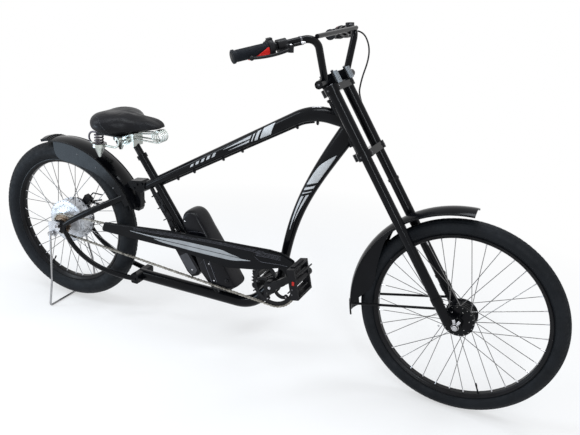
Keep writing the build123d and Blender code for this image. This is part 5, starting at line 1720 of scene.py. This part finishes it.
# fastenings of the front hub and of the fenders
def makeHubTrim():
    nuts = Shape()
    for side in (-1, 1):
        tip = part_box("front_axle")[0].y if side < 0 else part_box("front_axle")[1].y
        at = Vector((frontAxle.x, tip - side * 7 * mm, frontAxle.z))
        lathe(nuts, at - across * side * 2.4 * mm, across * side,
              inMm((0, 5.2), (0, 12), (1.6, 12), (2.2, 11), (2.2, 5.2)), 32, True)
        lathe(nuts, at, across * side, inMm((0, 5.4), (0, 9.6), (6, 9.6), (7, 8.6), (7, 5.4)), 6, True)
        for turn in (62, 108):
            spot = wheelPoint(at, 18.5 * mm, turn, -side * 4 * mm)
            slab(nuts, spot, Vector((math.cos(math.radians(turn)), 0, math.sin(math.radians(turn)))),
                 across, Vector((-math.sin(math.radians(turn)), 0, math.cos(math.radians(turn)))),
                 (13, 2.2, 9))
    roundEdges(addPiece("front_axle_nuts", nuts, "steel", "fork"), 0.5 * mm)


fenderDetail = {
    "rivetShares": (0.42, 0.62, 0.8, 0.93),   # along the rear mudguard's box
    "guardRadius": 345 * mm,
    "rivetDrop": 34 * mm,
    "skirtHalf": 30 * mm,         # rivets sit only on the side skirts
}


def makeFenderTrim():
    bolts = Shape()
    surface = nodeSurface("rear_fender")
    low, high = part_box("rear_fender")
    for share in fenderDetail["rivetShares"]:
        x = low.x + (high.x - low.x) * share
        rise = math.sqrt(max(fenderDetail["guardRadius"] ** 2 - (x - rearAxle.x) ** 2, 0))
        for side in (-1, 1):
            hit, normal = castSide(surface, x, rearAxle.z + rise - fenderDetail["rivetDrop"], side)
            if hit and abs(hit.y) > fenderDetail["skirtHalf"]:
                domeBolt(bolts, hit, normal, 3, 2, False)
    addPiece("rear_fender_rivets", bolts, "darkSteel", "frame")
    bolts = Shape()
    for side in (-1, 1):
        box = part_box("fender_stays")
        for z in (box[0].z + 7 * mm, box[1].z - 7 * mm):
            at = Vector((box[1].x - 8 * mm, side * box[1].y, z))
            domeBolt(bolts, at, across * side, 3.4, 2.4)
    addPiece("stay_bolts", bolts, "steel", "fork")


makeGraphics()
makeCables()
makeLoom()
makeHeadPlate()
makeBatteryTrim(makeBattery())
makeWiringTrim()
makePedalTrim()
makeHubTrim()
makeFenderTrim()
print("graphics, cables and trim made")


# floor, light and camera
cameraSettings = {
    "place": (1.0723, -1.9836, 1.3931),
    "yaw": 24.3,                  # degrees from the left side towards the tail
    "pitch": 21.3,                # degrees down
    "roll": 2.7,
    "lens": 42.78,                # on a 36 mm sensor
}
stageSettings = {
    "floorSize": 60,
    "floorColour": (0.93, 0.93, 0.935),
    "skyColour": (0.97, 0.985, 1, 1),
    "skyStrength": 0.5,
    "nearWhite": 0.5,             # how much of the floor near the object is plain white to the camera
    "whiteFrom": 0.95,            # metres from the middle where the white starts to take over
    "whiteFull": 1.9,
}


def viewedShare(owner):
    # 1 for what the camera sees, also in a mirror or through glass
    seen = addNode(owner, "ShaderNodeLightPath").outputs
    mirrored = calc(owner, "MAXIMUM", seen["Is Camera Ray"], seen["Is Glossy Ray"])
    return calc(owner, "MAXIMUM", mirrored, seen["Is Transmission Ray"])


def whitenFloor(paper):
    # the camera, mirrors and glass see a white sweep; the object still stands in its own shadow
    place = addNode(paper, "ShaderNodeNewGeometry")
    distance = addNode(paper, "ShaderNodeVectorMath", operation="LENGTH")
    wire(paper, place.outputs["Position"], distance.inputs[0])
    away = spread(paper, distance.outputs["Value"], stageSettings["nearWhite"], 1,
                  stageSettings["whiteFrom"], stageSettings["whiteFull"])
    white = addNode(paper, "ShaderNodeEmission", Strength=1.0)
    mix = addNode(paper, "ShaderNodeMixShader")
    wire(paper, calc(paper, "MULTIPLY", viewedShare(paper), away), mix.inputs["Fac"])
    wire(paper, shaderOf(paper).outputs["BSDF"], mix.inputs[1])
    wire(paper, white.outputs["Emission"], mix.inputs[2])
    wire(paper, mix.outputs["Shader"], paper.node_tree.nodes["Material Output"].inputs["Surface"])


def makeStage():
    half = stageSettings["floorSize"] / 2
    mesh = bpy.data.meshes.new("floor")
    mesh.from_pydata([(-half, -half, 0), (half, -half, 0), (half, half, 0), (-half, half, 0)], [],
                     [(0, 1, 2, 3)])
    floor = addObject("floor", mesh)
    paper = startFinish("floorPaper", stageSettings["floorColour"], 0.9, Specular_IOR_Level=0.1)
    mottle = grain(paper, 3, 4)
    pale = stageSettings["floorColour"]
    colourFrom(paper, mixTones(paper, spread(paper, mottle, 0, 1), pale, tuple(c + 0.01 for c in pale)))
    whitenFloor(paper)
    mesh.materials.append(paper)
    world = bpy.context.scene.world or bpy.data.worlds.new("studio")
    bpy.context.scene.world = world
    world.use_nodes = True
    world.node_tree.nodes.clear()
    output = addNode(world, "ShaderNodeOutputWorld")
    backdrop = addNode(world, "ShaderNodeBackground", Color=(1, 1, 1, 1), Strength=1)
    sky = addNode(world, "ShaderNodeBackground", Color=stageSettings["skyColour"],
                  Strength=stageSettings["skyStrength"])
    mix = addNode(world, "ShaderNodeMixShader")
    wire(world, viewedShare(world), mix.inputs["Fac"])
    wire(world, sky.outputs["Background"], mix.inputs[1])
    wire(world, backdrop.outputs["Background"], mix.inputs[2])
    wire(world, mix.outputs["Shader"], output.inputs["Surface"])


softboxes = {
    # place from the middle of the bicycle in metres, width and height, watts, colour
    "overheadSoftbox": ((0.1, -0.1, 2.2), (3.2, 0.4), 46, (0.9, 0.95, 1)),
    "sideSoftbox": ((1.9, -2.3, 1.2), (0.3, 1.8), 30, (0.86, 0.93, 1)),
    "rearSoftbox": ((-2.4, -1.3, 1.3), (0.6, 1.6), 24, (0.82, 0.91, 1)),
    "lowSoftbox": ((-1.9, -1.15, -0.35), (0.9, 0.5), 9, (0.66, 0.83, 1)),
}


def makeLights():
    middle = (Vector(cadBounds[0]) + Vector(cadBounds[1])) / 2
    for name, (offset, size, power, colour) in softboxes.items():
        data = bpy.data.lights.new(name, "AREA")
        data.shape = "RECTANGLE"
        data.size, data.size_y = size
        data.energy = power
        data.color = colour
        lamp = addObject(name, data)
        lamp.location = middle + Vector(offset)
        lamp.rotation_euler = (-Vector(offset)).to_track_quat("-Z", "Y").to_euler()


def makeCamera():
    yaw, pitch, roll = [math.radians(cameraSettings[key]) for key in ("yaw", "pitch", "roll")]
    ahead = Vector((-math.sin(yaw) * math.cos(pitch), math.cos(yaw) * math.cos(pitch), -math.sin(pitch)))
    right = Vector((math.cos(yaw), math.sin(yaw), 0))
    above = right.cross(ahead)
    rolledRight = right * math.cos(roll) + above * math.sin(roll)
    rolledUp = above * math.cos(roll) - right * math.sin(roll)
    data = bpy.data.cameras.new("viewCamera")
    data.lens = cameraSettings["lens"]
    data.sensor_width = 36
    data.clip_end = 100
    camera = addObject("viewCamera", data)
    turn = Matrix((rolledRight, rolledUp, -ahead)).transposed()
    camera.matrix_world = Matrix.Translation(cameraSettings["place"]) @ turn.to_4x4()
    bpy.context.scene.camera = camera


makeStage()
makeLights()
makeCamera()
bpy.context.scene.view_settings.view_transform = "Standard"
print("stage, lights and camera set")
